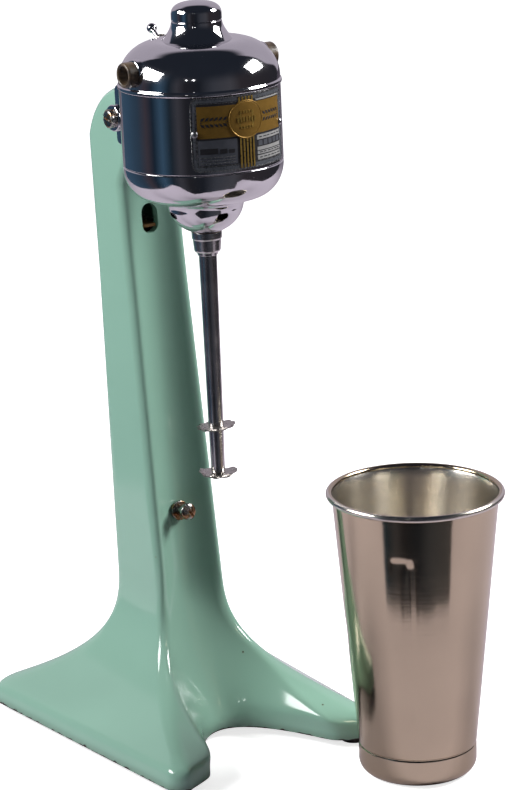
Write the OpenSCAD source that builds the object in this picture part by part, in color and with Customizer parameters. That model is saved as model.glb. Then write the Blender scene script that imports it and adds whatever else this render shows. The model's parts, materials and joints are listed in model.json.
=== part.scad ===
// Counter-top milkshake mixer with its steel mixing cup.
// Millimetres. +Z is up, the front is -Y, and the origin is on the counter under the column.

/* [Base] */
// Width of the base across its front feet
base_w = 157; // [152:1:162]
// Width of the base across its back
base_back_w = 180; // [170:1:184]
// How far the front feet reach in front of the origin
base_front = 111.5; // [108:0.5:114]
// How far the base reaches behind the origin
base_back = 100; // [97:1:103]
// Height of the upright lip round the base, from its lower edge
lip_h = 11.6; // [11.6:0.2:13]
// Width of the notch between the two front feet
notch_w = 91; // [88:1:94]
// How far in front of the origin the bottom of the notch is
notch_y = 42.7; // [40:0.5:45]
// Height of the rubber feet
foot_h = 5; // [4:0.5:6]

/* [Column] */
// Half width of the column below the motor
column_half = 22; // [21:0.5:23]
// Height of the top of the casting
column_top = 411; // [408:1:413]
// Height of the middle of the cup rim slot
slot_z = 324.5; // [322:0.5:327]
// Width of the cup rim slot
slot_w = 11.5; // [9:0.5:13]
// Height of the cup rest screw
rest_z = 139.5; // [136:0.5:143]

/* [Motor head] */
// Outer radius of the motor casing
motor_r = 48.5; // [48:0.1:48.8]
// Forward lean of the motor and spindle, in degrees
head_tilt = 2.1; // [1.5:0.1:2.5]
// Height of the middle of the motor above the counter
head_z = 392; // [390:0.5:394]
// Distance of the motor axis in front of the origin
head_y = -38; // [-38.5:0.1:-37.5]
// Width of the nameplate round the casing, in degrees
plate_angle = 80; // [60:2:90]

/* [Spindle] */
// Radius of the spindle under its collar
spindle_top_r = 5.5; // [5:0.1:5.6]
// Radius of the spindle at its lower end
spindle_tip_r = 4.3; // [4:0.1:4.6]
// Length of the spindle below the collar
spindle_len = 138; // [130:1:142]
// Radius of the two agitator discs
disc_r = 12; // [10:0.5:14]

/* [Mixing cup] */
// Height of the cup
cup_h = 180; // [170:1:185]
// Outer radius of the cup at its rolled rim
cup_rim_r = 54; // [50:0.5:56]
// Where the cup stands, to the side of the middle
cup_x = 70; // [66:1:90]
// Where the cup stands, in front of the middle
cup_y = -155; // [-170:1:-154]

/* [Hidden] */

$fn = 64;
gap = 0.05;

jade = [0.46, 0.66, 0.57];
chrome = [0.78, 0.79, 0.82];
steel = [0.62, 0.62, 0.63];
brass = [0.62, 0.47, 0.25];
bakelite = [0.35, 0.22, 0.14];
dark = [0.12, 0.12, 0.13];
copper = [0.72, 0.40, 0.22];

// Functions shared by the casting's outside and inside.
function blend(a, b, t) = a + (b - a) * t;
function clamp01(t) = min(1, max(0, t));
function ease(t) = let (c = clamp01(t)) c * c * (3 - 2 * c);
function soft_plus(u, k) = (u + sqrt(u * u + k * k)) / 2;

// How far the casting has spread into its base at height z: 0 on the column, 1 on the base.
lip_top = foot_h + lip_h;
spread_top = 104;
function spread(z, low, power) = pow(1 - clamp01((z - low) / (spread_top - low)), power);

// The casting's edges on the plain column, as straight leaning lines.
function column_front(z) = -14.1 + 0.1426 * (z - 100);
function column_back(z) = 45 + 0.0724 * (z - 100);
function column_trough(z) = 2.6 + 0.121 * (z - 140);
function column_width(z) = blend(24.6, column_half, clamp01((z - 100) / 190));

// How sharply the casting's front sweeps out into the feet.
front_power = 3.8;

// The rounded head of the casting, behind the motor.
head_start = 356;
head_front = 13.6;
head_back_r = 53.8;
crown_h = 11;
function crown(z) =
    let (s = clamp01((z - column_top + crown_h) / crown_h))
    1 - sqrt(max(0, 1 - s * s));
function head_back(z) = head_front + head_back_r
    * sqrt(max(0.02, 1 - pow((z - head_start) / (column_top + 1 - head_start), 2.2)));

function edge_half(z) = blend(column_width(z), base_w / 2, spread(z, lip_top, 3))
    + 1.2 * (1 - clamp01((z - foot_h) / lip_h)) - 7 * crown(z);
function edge_front(z) = blend(blend(column_front(z), head_front, ease((z - 345) / 22)),
    -base_front, spread(z, lip_top + 2, front_power)) + 2 * crown(z);
function edge_back(z) = blend(z > head_start ? min(column_back(z), head_back(z)) : column_back(z),
    base_back, spread(z, lip_top, 3.1));
function trough(z) = blend(blend(column_trough(z), head_front, ease((z - 345) / 22)),
    -notch_y, spread(z, 12, 1.93));
function trough_half(z) = blend(column_width(z) - 3.5, notch_w / 2, spread(z, 12, 1.37));
function corner_back(z) = blend(11.3, 15.4, spread(z, lip_top, 3)) - 6 * crown(z);

// The feet end on a slant, further forward at their outer corners.
toe_slant = 9.4;
toe_out = 68;
toe_in = 46;
function slant(z) = toe_slant * spread(z, lip_top + 2, front_power);

// The base widens towards its back.
straight_front = base_front - 12.5;
function taper(z) = (base_back_w / base_w - 1) / (base_back + straight_front) * spread(z, lip_top, 3);
function corner_front(z) = blend(8, 11, spread(z, lip_top, 3)) - 4 * crown(z);

// One level of the casting: a rounded rectangle whose front is pushed in by a parabolic trough.
// Its points go along the front from left to right, then along the back from right to left, in
// matching columns that crowd together towards the corners.
function level(z, columns, half, front, back, rf, rb, depth, reach, toe, widen) =
    let (
        xs = [for (k = [0 : columns]) half * sin(90 * (2 * k / columns - 1))],
        push = function(x) depth * soft_plus(1 - pow(x / reach, 2), 0.12)
            + toe * clamp01((toe_out - abs(x)) / (toe_out - toe_in)),
        corner = function(x, r) let (o = max(0, abs(x) - half + r)) r - sqrt(max(0, r * r - o * o)),
        flat = concat(
            [for (x = xs) [x, front + push(x) + corner(x, rf)]],
            [for (k = [columns : -1 : 0]) [xs[k], back - corner(xs[k], rb)]])
    )
    [for (p = flat) [p[0] * (1 + widen * (p[1] + straight_front)), p[1], z]];

function outer_level(z) = level(z, 44, edge_half(z), edge_front(z), edge_back(z),
    corner_front(z), corner_back(z), trough(z) - edge_front(z) - slant(z), trough_half(z),
    slant(z), taper(z));

// The inside follows the outside from a little higher up, so the wall stays about as thick
// where the casting spreads.
wall = 4.5;
rise = 6;
function inner_level(z, inset = wall) =
    let (h = z + rise, half = edge_half(h) - inset, front = edge_front(h) + inset + 1.5)
    level(z, 28, half, front, edge_back(h) - inset, 6, corner_back(h) - 3,
        trough(h) + inset - front - slant(h), min(trough_half(h) + inset, half - 1), slant(h), taper(h));

// Joins a stack of levels that have equal numbers of points into one closed solid. Each end is
// closed by strips from the front points to the back points of the same column.
module loft(levels) {
    n = len(levels[0]);
    m = len(levels);
    sides = [for (j = [0 : m - 2], i = [0 : n - 1], k = [0, 1])
        let (a = j * n + i, b = j * n + (i + 1) % n)
        k == 0 ? [a, a + n, b] : [b, a + n, b + n]];
    low_end = [for (i = [0 : n / 2 - 2], k = [0, 1])
        k == 0 ? [i, i + 1, n - 1 - i] : [i + 1, n - 2 - i, n - 1 - i]];
    high_end = [for (t = low_end) [for (i = [2, 1, 0]) t[i] + (m - 1) * n]];
    polyhedron([for (l = levels, p = l) p], concat(sides, low_end, high_end), convexity = 8);
}

outer_heights = concat([foot_h, 9, 13], [for (i = [0 : 14]) lip_top + 1.5 * i + 0.33 * i * i],
    [120, 150, 190, 240, 290, 320, 340, 350, 358, 364, 370, 376, 382, 388, 394, 400],
    [for (i = [1 : 4]) 400 + crown_h * sin(90 * i / 4)]);
inner_heights = [foot_h - 0.1, 9, 12, 15, 19, 24, 30, 38, 48, 60, 75, 94, 120, 180, 240, 300,
    334, 344, 354, 366];

// Base plate and feet.
plate_t = 1.6;
foot_points = [[-65, -94], [65, -94], [-70, 80], [70, 80]];
boss_r = 5.5;
screw_r = 2;
foot_r = 9;

// Hole for the cord at the back of the base.
cord_z = 11;
cord_hole_r = 4;

// Cup rest.
rest_lean = 10;
rest_y = column_trough(rest_z);

// Cup-operated lever, in the column behind the slot.
lever_y = 36;
lever_z = 296;
lever_pin_r = 1.5;

// Motor head.
lip_z = 29;
seam_z = -20.8;
shoulder_r = 23.5;
shoulder_z = 30;
bell_r = 15.2;
bell_flare = 6;
bell_rise = 11;
bell_round = 3.4;
cap_top = 77;
skin = 1.8;
nose_r = 23.5;
nose_h = 20.6;
nose_z = -63;
bearing_r = 9;
shaft_r = 4;
brush_z = 38;
vents = 4;
vent_r = 2;
vent_reach = 1.8;

// Cross bolt through the fork and the casting, in the head's own frame.
bolt_y = 55;
bolt_z = 2.7;
bolt_r = 3;
boss_t = 4.2;
fork_half = 25;
fork_in = column_half + 0.3;

toggle_lean = 43;
toggle_rest = 9;
toggle_y = motor_r - shoulder_r + shoulder_r * sin(toggle_lean);
toggle_z = shoulder_z + shoulder_r * cos(toggle_lean);

collar_top = nose_z - 0.4;
spindle_z = collar_top - 14.6;
disc_top_z = spindle_z - 108;
disc_low_z = spindle_z - spindle_len;
// Where the discs' rims rise most at rest, as an angle round the spindle.
disc_turn = -34;

// Screws that hold the lever bracket to the casting, and the motor to its fork.
bracket_screws_at = [292, 318];
fork_screws_at = [-11.4, 20.4];
stator_bolt_at = 42.6;

// Places a child given in the head's own frame, whose Z is the motor axis.
module on_head() {
    translate([0, head_y, head_z]) rotate([-head_tilt, 0, 0]) children();
}

module on_toggle() {
    on_head() translate([0, toggle_y, toggle_z]) rotate([-toggle_lean, 0, 0]) children();
}

module at_points(points) {
    for (p = points) translate([p[0], p[1], 0]) children();
}

// Both sides of the motor axis, along X.
module both_sides() {
    for (s = [0, 180]) rotate([0, 0, s]) children();
}

// ---- stand ----

module slot_cut() {
    translate([0, 44, slot_z]) rotate([90, 0, 0]) linear_extrude(40) union() {
        translate([0, 3.6]) circle(d = slot_w);
        translate([0, -3.6]) circle(d = slot_w);
        square([slot_w, 7.2], center = true);
    }
}

module on_rest() {
    translate([0, rest_y, rest_z]) rotate([90 - rest_lean, 0, 0]) children();
}

module stand_casting() {
    color(jade) difference() {
        union() {
            difference() {
                loft([for (z = outer_heights) outer_level(z)]);
                loft([for (z = inner_heights) inner_level(z)]);
            }
            at_points(foot_points) translate([0, 0, foot_h + plate_t]) cylinder(h = 11.4, r = boss_r);
            translate([-11, lever_y + 14.05, 286]) cube([22, 8, 38]);
        }
        at_points(foot_points) translate([0, 0, -1]) cylinder(h = 16, r = screw_r + gap);
        slot_cut();
        on_rest() translate([0, 0, -20]) cylinder(h = 40, r = screw_r + 0.5 + gap);
        translate([-40, bolt_world()[0], bolt_world()[1]]) rotate([0, 90, 0])
            cylinder(h = 80, r = bolt_r + gap);
        translate([0, 70, cord_z]) rotate([-90, 0, 0]) cylinder(h = 40, r = cord_hole_r);
        for (z = bracket_screws_at) translate([0, 40, z]) rotate([-90, 0, 0])
            cylinder(h = 13.6, r = 1.5 + gap);
    }
}

// The cross bolt's place in the stand's frame, as [y, z].
function bolt_world() = [head_y + bolt_y * cos(head_tilt) + bolt_z * sin(head_tilt),
    head_z - bolt_y * sin(head_tilt) + bolt_z * cos(head_tilt)];

module base_plate() {
    color(dark) translate([0, 0, foot_h]) difference() {
        linear_extrude(plate_t) polygon([for (p = inner_level(foot_h, wall + 1)) [p[0], p[1]]]);
        at_points(foot_points) translate([0, 0, -1]) cylinder(h = 4, r = screw_r + 0.2);
    }
}

module rubber_feet() {
    color(dark) at_points(foot_points) rotate_extrude()
        polygon([[3.4, 0.6], [3.8, 0], [foot_r - 1, 0], [foot_r, 1], [foot_r - 0.8, foot_h],
                 [screw_r + 0.2, foot_h], [screw_r + 0.2, 2.6], [3.4, 2.6]]);
}

module foot_screws() {
    color(steel) at_points(foot_points) union() {
        translate([0, 0, 1.2]) cylinder(h = 1.4, r = 3.3);
        translate([0, 0, 2]) cylinder(h = 12, r = screw_r);
    }
}

module cord_grommet() {
    neck_r = cord_hole_r - gap;
    color(dark) translate([0, base_back, cord_z]) rotate([-90, 0, 0]) rotate_extrude()
        polygon([[2.6, -9], [neck_r, -9], [neck_r, gap], [5.2, gap], [5.2, 1.2], [4.6, 1.8], [2.6, 1.8]]);
}

module cup_rest_washer() {
    color(brass) on_rest() translate([0, 0, 1.4]) difference() {
        cylinder(h = 2.2, r = 6.2);
        translate([0, 0, -1]) cylinder(h = 5, r = screw_r + 0.6);
    }
}

module cup_rest_screw() {
    color(brass) on_rest() difference() {
        union() {
            translate([0, 0, -9]) cylinder(h = 14, r = screw_r + 0.5);
            translate([0, 0, 3.6]) cylinder(h = 7.4, r = 4);
            translate([0, 0, 11]) cylinder(h = 2.2, r = 5.3);
            translate([0, 0, 13.2]) intersection() {
                translate([0, 0, -7]) sphere(r = 8.78);
                cylinder(h = 3, r = 5.3);
            }
        }
        translate([-6, -0.6, 13.4]) cube([12, 1.2, 3]);
    }
}

// ---- cup-operated switch in the column ----

module lever_bracket() {
    cheek = [1.2, 18, 34];
    color(steel) difference() {
        union() {
            for (x = [-8.2, 7]) translate([x, lever_y - 4, lever_z - 8]) cube(cheek);
            translate([-8.2, lever_y + 12.8, lever_z - 8]) cube([16.4, 1.2, cheek[2]]);
        }
        translate([-10, lever_y, lever_z]) rotate([0, 90, 0]) cylinder(h = 20, r = lever_pin_r + gap);
        for (z = bracket_screws_at) translate([0, 40, z]) rotate([-90, 0, 0]) cylinder(h = 20, r = 1.7);
    }
}

module bracket_screws() {
    color(steel) for (z = bracket_screws_at) translate([0, lever_y + 11.5, z])
        rotate([-90, 0, 0]) union() {
        cylinder(h = 1.3, r = 2.8);
        cylinder(h = 5.6, r = 1.5);
    }
}

module lever_pin() {
    color(steel) translate([-9, lever_y, lever_z]) rotate([0, 90, 0]) cylinder(h = 18, r = lever_pin_r);
}

module cup_lever() {
    color(brass) difference() {
        union() {
            translate([-4, lever_y, lever_z]) rotate([0, 90, 0]) cylinder(h = 8, r = 3.2);
            translate([-4, lever_y - 2.6, lever_z]) cube([8, 2, 25]);
            translate([-4.3, lever_y - 11, lever_z + 23]) cube([8.6, 9.4, 1.8]);
        }
        translate([-5, lever_y, lever_z]) rotate([0, 90, 0]) cylinder(h = 10, r = lever_pin_r + gap);
    }
}

module lever_spring() {
    color(steel) for (s = [-1, 1]) translate([s * 5.6, lever_y, lever_z]) rotate([0, 90, 0])
        rotate_extrude() translate([2.4, 0]) circle(r = 0.5);
}

module switch_block() {
    color(bakelite) difference() {
        translate([-6.8, lever_y + 3.8, lever_z + 9]) cube([13.6, 7.4, 16]);
        translate([0, lever_y, lever_z + 18]) rotate([-90, 0, 0]) cylinder(h = 9, r = 1.6 + gap);
    }
}

module switch_plunger() {
    color(dark) translate([0, lever_y - 0.2, lever_z + 18]) rotate([-90, 0, 0]) cylinder(h = 6.4, r = 1.6);
}

// ---- motor head, fixed ----

module mounting_fork() {
    color(chrome) on_head() difference() {
        union() {
            translate([-fork_half, 40, -14]) cube([2 * fork_half, 15, 37]);
            for (s = [-1, 1]) translate([s * (fork_half + fork_in) / 2, 0, 0]) rotate([0, 90, 0])
                linear_extrude(fork_half - fork_in, center = true) union() {
                    translate([-23, 45]) square([37, 9]);
                    translate([-19, 45]) square([29, 14.5]);
                    for (z = [-19, 10]) translate([z, 54]) circle(r = 4);
                }
        }
        translate([-fork_in, motor_r + 1.7, -15]) cube([2 * fork_in, 30, 40]);
        translate([0, 0, -20]) cylinder(h = 50, r = motor_r + 0.02, $fn = 96);
        translate([-30, bolt_y, bolt_z]) rotate([0, 90, 0]) cylinder(h = 60, r = bolt_r + gap);
        for (z = fork_screws_at) translate([0, 40, z]) rotate([-90, 0, 0]) cylinder(h = 20, r = 1.25 + gap);
    }
}

module fork_screws() {
    color(steel) on_head() for (z = fork_screws_at)
        translate([0, motor_r - 3.5, z]) rotate([-90, 0, 0]) union() {
            cylinder(h = 1.4, r = 2.2);
            cylinder(h = 5.5, r = 1.25);
        }
}

module bolt_collar() {
    color(chrome) on_head() translate([-fork_half - boss_t, bolt_y, bolt_z]) rotate([0, 90, 0]) difference() {
        union() {
            cylinder(h = boss_t, r = 7.6);
            translate([0, 0, 0.8]) cylinder(h = boss_t - 0.8, r = 8.3);
        }
        translate([0, 0, -1]) cylinder(h = boss_t + 2, r = bolt_r + gap);
    }
}

module cross_bolt() {
    color(brass) on_head() translate([-fork_half - boss_t, bolt_y, bolt_z]) rotate([0, 90, 0]) difference() {
        union() {
            translate([0, 0, -2.6]) cylinder(h = 2.6, r = 5.8);
            translate([0, 0, -4.4]) cylinder(h = 1.8, r1 = 3.6, r2 = 5.8);
            cylinder(h = 2 * fork_half + 10.5, r = bolt_r);
        }
        translate([-0.7, -6, -5.4]) cube([1.4, 12, 2.4]);
    }
}

module cross_nut() {
    color(steel) on_head() translate([fork_half, bolt_y, bolt_z]) rotate([0, 90, 0]) difference() {
        cylinder(h = 5, r = 6.2, $fn = 6);
        translate([0, 0, -1]) cylinder(h = 7, r = bolt_r + gap);
    }
}

// The cap's side outline from its lip up to the crown, moved in by t.
function cap_outline(t) = concat(
    [for (i = [0 : 8]) let (a = 90 * i / 8) [motor_r - shoulder_r + (shoulder_r - t) * cos(a),
        shoulder_z + (shoulder_r - t) * sin(a)]],
    [for (i = [0 : 6]) let (a = 90 * i / 6) [bell_r - t + bell_flare * (1 - sin(a)),
        shoulder_z + shoulder_r - t + bell_rise * (1 - cos(a))]],
    [for (i = [0 : 4]) let (a = 80 * i / 4) [bell_r - bell_round + (bell_round - t) * cos(a),
        cap_top - 1.4 - bell_round + (bell_round - t) * sin(a)]],
    [[0, cap_top - t]]);

module upper_cap() {
    color(chrome) on_head() difference() {
        rotate_extrude($fn = 128) polygon(concat([[motor_r, lip_z - 3], [motor_r + 0.7, lip_z - 2.4],
            [motor_r + 0.9, lip_z - 0.8], [motor_r + 0.5, lip_z]], cap_outline(0), [[0, lip_z - 3]]));
        rotate_extrude($fn = 128)
            polygon(concat([[motor_r - skin, lip_z - 4]], cap_outline(skin), [[0, lip_z - 4]]));
        rotate([0, 90, 0]) translate([-brush_z, 0, -60]) cylinder(h = 120, r = 8.6 + gap);
        translate([0, toggle_y, toggle_z]) rotate([-toggle_lean, 0, 0])
            translate([0, 0, -6]) cylinder(h = 12, r = 4.3);
    }
}

module motor_body() {
    color(chrome) on_head() difference() {
        translate([0, 0, seam_z + 0.1]) cylinder(h = lip_z - 3.2 - seam_z, r = motor_r, $fn = 128);
        translate([0, 0, seam_z - 1]) cylinder(h = 60, r = motor_r - 2, $fn = 128);
        for (z = fork_screws_at) translate([0, 40, z]) rotate([-90, 0, 0]) cylinder(h = 20, r = 1.25 + gap);
    }
}

// The lower casing's side outline from its seam down to the nose, moved in by t.
lower_a = 18;
lower_b = 21;
function lower_outline(t) = concat(
    [for (i = [0 : 7]) let (a = 80 * i / 7) [motor_r - lower_a + (lower_a - t) * cos(a),
        seam_z - (lower_b - t) * sin(a)]],
    [[27 - t * 0.6, -42.6 + t], [24.4 - t, -44.4 + t * 0.6]],
    [for (i = [0 : 8]) let (a = 9 + 57 * i / 8) [(nose_r - t) * cos(a), -44 - (nose_h - t) * sin(a)]]);

module lower_casing() {
    color(chrome) on_head() difference() {
        union() {
            difference() {
                rotate_extrude($fn = 128) polygon(concat(lower_outline(0), [[0, nose_z], [0, seam_z]]));
                rotate_extrude($fn = 128) polygon(concat([[motor_r - skin, seam_z + 1]],
                    lower_outline(skin), [[0, nose_z + skin], [0, seam_z + 1]]));
            }
            translate([0, 0, nose_z + 1.5]) cylinder(h = 9.5, r = bearing_r + 3);
        }
        translate([0, 0, nose_z - 1]) cylinder(h = 14, r = bearing_r + gap);
        for (i = [0 : vents - 1]) rotate([0, 0, -5 + 360 * i / vents]) translate([0, -13, -51])
            rotate([90, 0, 0]) linear_extrude(20) union() {
                for (side = [-1, 1]) translate([side * vent_reach, 0]) circle(r = vent_r);
                square([2 * vent_reach, 2 * vent_r], center = true);
            }
    }
}

module nameplate() {
    color(brass) on_head() translate([0, 0, -18.2]) rotate([0, 0, -90 - plate_angle / 2])
        rotate_extrude(angle = plate_angle, $fn = 128)
            translate([motor_r + gap, 0]) square([1, 44]);
}

module nameplate_pins() {
    color(steel) on_head() for (s = [-1, 1]) rotate([0, 0, s * (plate_angle / 2 - 2.4)])
        translate([0, -motor_r - 1.05, 4.6]) rotate([90, 0, 0]) intersection() {
            translate([0, 0, -1.2]) sphere(r = 2.2);
            cylinder(h = 2, r = 2.2);
        }
}

stator_low = -8.6;
stator_high = 17.6;
stator_r = motor_r - 2.3;

module stator_core() {
    color(steel) on_head() translate([0, 0, stator_low])
    linear_extrude(stator_high - stator_low) difference() {
        union() {
            difference() {
                circle(r = stator_r, $fn = 96);
                circle(r = 39, $fn = 96);
            }
            intersection() {
                square([24, 84], center = true);
                circle(r = 40);
            }
            intersection() {
                circle(r = 27);
                square([38, 60], center = true);
            }
        }
        circle(r = 24.5, $fn = 96);
        square([60, 26], center = true);
        for (s = [-1, 1]) translate([s * stator_bolt_at, 0]) circle(r = 1.8);
    }
}

module field_coils() {
    color(copper) on_head() for (s = [0, 180]) rotate([0, 0, s]) translate([0, 27.6, 4.5]) rotate([-90, 0, 0])
        linear_extrude(6) difference() {
            square([35, 38], center = true);
            square([24.4, 26.6], center = true);
        }
}

module stator_bolts() {
    color(steel) on_head() for (s = [-1, 1]) translate([s * stator_bolt_at, 0, 0]) union() {
        translate([0, 0, -12]) cylinder(h = 33, r = 1.7);
        translate([0, 0, stator_high]) cylinder(h = 2.4, r = 3);
        translate([0, 0, stator_low - 2.4]) cylinder(h = 2.4, r = 3.2, $fn = 6);
    }
}

module brush_holders() {
    color(bakelite) on_head() both_sides() translate([15, 0, brush_z]) rotate([0, 90, 0]) difference() {
        cylinder(h = 26, r = 6.6);
        translate([-2.6, -3.6, -1]) cube([5.2, 7.2, 12]);
        translate([0, 0, 10]) cylinder(h = 20, r = 4.7);
    }
}

module brushes() {
    color(dark) on_head() both_sides() translate([12.2, 0, brush_z]) rotate([0, 90, 0])
        difference() {
            translate([-2.5, -3.5, 0]) cube([5, 7, 13]);
            translate([0, 0, 11]) cylinder(h = 3, r = 1.5);
        }
}

module brush_springs() {
    color(brass) on_head() both_sides() for (i = [0 : 7])
        translate([25.9 + 2 * i, 0, brush_z]) rotate([0, 90, 0]) rotate_extrude()
            translate([3.4, 0]) circle(r = 0.45);
}

module brush_cap_rings() {
    color(chrome) on_head() both_sides() translate([41.2, 0, brush_z]) rotate([0, 90, 0]) difference() {
        cylinder(h = 5.4, r = 8.6);
        translate([0, 0, -1]) cylinder(h = 8, r = 7.1);
    }
}

module brush_caps() {
    color(bakelite) on_head() both_sides() translate([41.4, 0, brush_z]) rotate([0, 90, 0]) difference() {
        union() {
            cylinder(h = 11, r = 7);
            translate([0, 0, 5.3]) cylinder(h = 6, r = 7.7);
            translate([0, 0, 11.3]) cylinder(h = 0.6, r1 = 7.7, r2 = 7.1);
        }
        translate([0, 0, 3.4]) cylinder(h = 10, r = 4.3);
    }
}

module bearing_plate() {
    color(steel) on_head() difference() {
        union() {
            translate([0, 0, 50]) cylinder(h = 1.5, r = 21);
            translate([0, 0, 50]) cylinder(h = 9, r = 11);
        }
        translate([0, 0, 49]) cylinder(h = 12, r = 8 + gap);
    }
}

module upper_bearing() {
    color(brass) on_head() translate([0, 0, 50]) difference() {
        cylinder(h = 15, r = 8);
        translate([0, 0, -1]) cylinder(h = 17, r = shaft_r + 0.03);
    }
}

module oil_felt() {
    color([0.55, 0.5, 0.4]) on_head() translate([0, 0, 59.2]) difference() {
        cylinder(h = 5.6, r = bell_r - skin - 0.2);
        translate([0, 0, -1]) cylinder(h = 8, r = 8 + gap);
    }
}

module lower_bearing() {
    color(brass) on_head() difference() {
        union() {
            translate([0, 0, nose_z + 0.2]) cylinder(h = 13, r = bearing_r);
            translate([0, 0, nose_z + 11.2]) cylinder(h = 2, r = bearing_r + 2.4);
        }
        translate([0, 0, nose_z - 1]) cylinder(h = 16, r = shaft_r + 0.03);
    }
}

module toggle_body() {
    color(bakelite) on_toggle() translate([-8, -5.5, -17.4]) cube([16, 11, 13.8]);
}

module toggle_bushing() {
    color(chrome) on_toggle() translate([0, 0, -3.6]) difference() {
        cylinder(h = 7.2, r = 4.2);
        translate([0, 0, -1]) cylinder(h = 9, r = 3);
    }
}

module toggle_nut() {
    color(chrome) on_toggle() translate([0, 0, gap]) difference() {
        cylinder(h = 1.9, r = 6, $fn = 6);
        translate([0, 0, -1]) cylinder(h = 4, r = 4.2 + gap);
    }
}

module toggle_lever() {
    color(chrome) on_toggle() rotate([-toggle_rest, 0, 0]) union() {
        sphere(r = 2.2);
        rotate([0, 90, 0]) cylinder(h = 5.6, r = 0.8, center = true);
        cylinder(h = 12, r1 = 1.3, r2 = 1.5);
        translate([0, 0, 12.6]) sphere(r = 3.1);
    }
}

// ---- rotor ----

module motor_shaft() {
    color(steel) on_head() translate([0, 0, -70]) cylinder(h = 136, r = shaft_r);
}

armature_slots = 12;

module armature_core() {
    color(steel) on_head() translate([0, 0, stator_low + 1])
    linear_extrude(stator_high - stator_low - 2) difference() {
        circle(r = 24, $fn = 96);
        circle(r = shaft_r + gap / 5);
        for (i = [0 : armature_slots - 1]) rotate([0, 0, 360 * i / armature_slots])
            translate([13, -1.8]) square([12, 3.6]);
    }
}

module armature_windings() {
    low = stator_low - 5.5;
    color(copper) on_head() union() {
        for (z = [low, stator_high - 0.9]) translate([0, 0, z]) difference() {
            cylinder(h = 6.4, r = 21);
            translate([0, 0, -1]) cylinder(h = 9, r = 9);
        }
        for (i = [0 : armature_slots - 1]) rotate([0, 0, 360 * i / armature_slots])
            translate([13.2, -1.5, low + 1]) cube([8, 3, stator_high - low]);
    }
}

module commutator() {
    color(copper) on_head() translate([0, 0, 27]) difference() {
        union() {
            translate([0, 0, 2]) cylinder(h = 17, r = 12);
            cylinder(h = 2.5, r = 14);
        }
        translate([0, 0, -1]) cylinder(h = 22, r = shaft_r + gap / 5);
        for (i = [0 : 23]) rotate([0, 0, 15 * i]) translate([11.3, -0.3, 3]) cube([3, 0.6, 20]);
    }
}

module cooling_fan() {
    color(steel) on_head() translate([0, 0, -33]) difference() {
        union() {
            cylinder(h = 8, r = 8);
            cylinder(h = 1.2, r = 27);
            for (i = [0 : 7]) rotate([0, 0, 45 * i]) translate([9, -0.6, 0])
                rotate([0, 0, 14]) cube([17, 1.2, 9]);
        }
        translate([0, 0, -1]) cylinder(h = 12, r = shaft_r + gap / 5);
    }
}

module spindle_collar() {
    color(chrome) on_head() rotate_extrude() polygon([[shaft_r + gap / 5, collar_top], [9.3, collar_top],
        [9.2, collar_top - 4], [8.7, collar_top - 4.6], [8.1, collar_top - 11.6], [7.4, collar_top - 12.4],
        [6.4, collar_top - 12.6], [6.2, collar_top - 14.6], [spindle_top_r + gap / 5, collar_top - 14.6],
        [spindle_top_r + gap / 5, -70.2], [shaft_r + gap / 5, -70.2]]);
}

module spindle() {
    color(chrome) on_head() rotate_extrude() polygon([[0, -70.4], [spindle_top_r, -70.4],
        [spindle_top_r, spindle_z], [spindle_tip_r + 0.35, disc_top_z],
        [spindle_tip_r, disc_low_z + 1.35], [spindle_tip_r - 1.6, disc_low_z + 1.25],
        [spindle_tip_r - 1.6, disc_low_z - 1.2], [0, disc_low_z - 1.2]]);
}

// A pressed disc, a little dished, whose rim rises and falls in lobes, with a plain bore.
module wavy_disc(lobes, wave, dish, bore) {
    rings = [bore + 1.2, 6.4, 8, 9.6, 11, disc_r];
    n = 48;
    function lift(r, a) = pow((r - bore - 1) / (disc_r - bore - 1), 1.5)
        * (dish + wave * cos(lobes * (a - disc_turn)));
    difference() {
        union() {
            cylinder(h = 2.4, r = bore + 2, center = true);
            polyhedron(
                [for (t = [-0.7, 0.7], r = rings, i = [0 : n - 1]) let (a = 360 * i / n)
                    [r * cos(a), r * sin(a), lift(r, a) + t]],
                concat(
                    [[for (i = [0 : n - 1]) i]],
                    [[for (i = [0 : n - 1]) 6 * n + n - 1 - i]],
                    [for (j = [0 : 4], i = [0 : n - 1], k = [0, 1])
                        let (a = j * n + i, b = j * n + (i + 1) % n)
                        k == 0 ? [a, b, a + n] : [b, b + n, a + n]],
                    [for (j = [6 : 10], i = [0 : n - 1], k = [0, 1])
                        let (a = j * n + i, b = j * n + (i + 1) % n)
                        k == 0 ? [a, a + n, b] : [b, a + n, b + n]],
                    [for (i = [0 : n - 1], k = [0, 1]) let (a = 5 * n + i, b = 5 * n + (i + 1) % n)
                        k == 0 ? [a, b, a + 6 * n] : [b, b + 6 * n, a + 6 * n]]
                ), convexity = 4);
        }
        translate([0, 0, -5]) cylinder(h = 10, r = bore);
    }
}

module upper_disc() {
    color(chrome) on_head() translate([0, 0, disc_top_z]) wavy_disc(1, 1.4, 0.6, spindle_tip_r + 0.37);
}

module lower_disc() {
    color(chrome) on_head() translate([0, 0, disc_low_z]) wavy_disc(2, 1.6, 1, spindle_tip_r - 1.59);
}

module spindle_rivet() {
    color(steel) on_head() translate([0, 0, disc_low_z - 1.3]) rotate([180, 0, 0])
        cylinder(h = 1.3, r1 = 4, r2 = 2.4);
}

// ---- mixing cup ----

cup_wall = 1;
cup_band_z = 18.6;
cup_band_r = 36.2;
cup_neck_r = 50.3;
cup_foot_r = 8;

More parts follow.
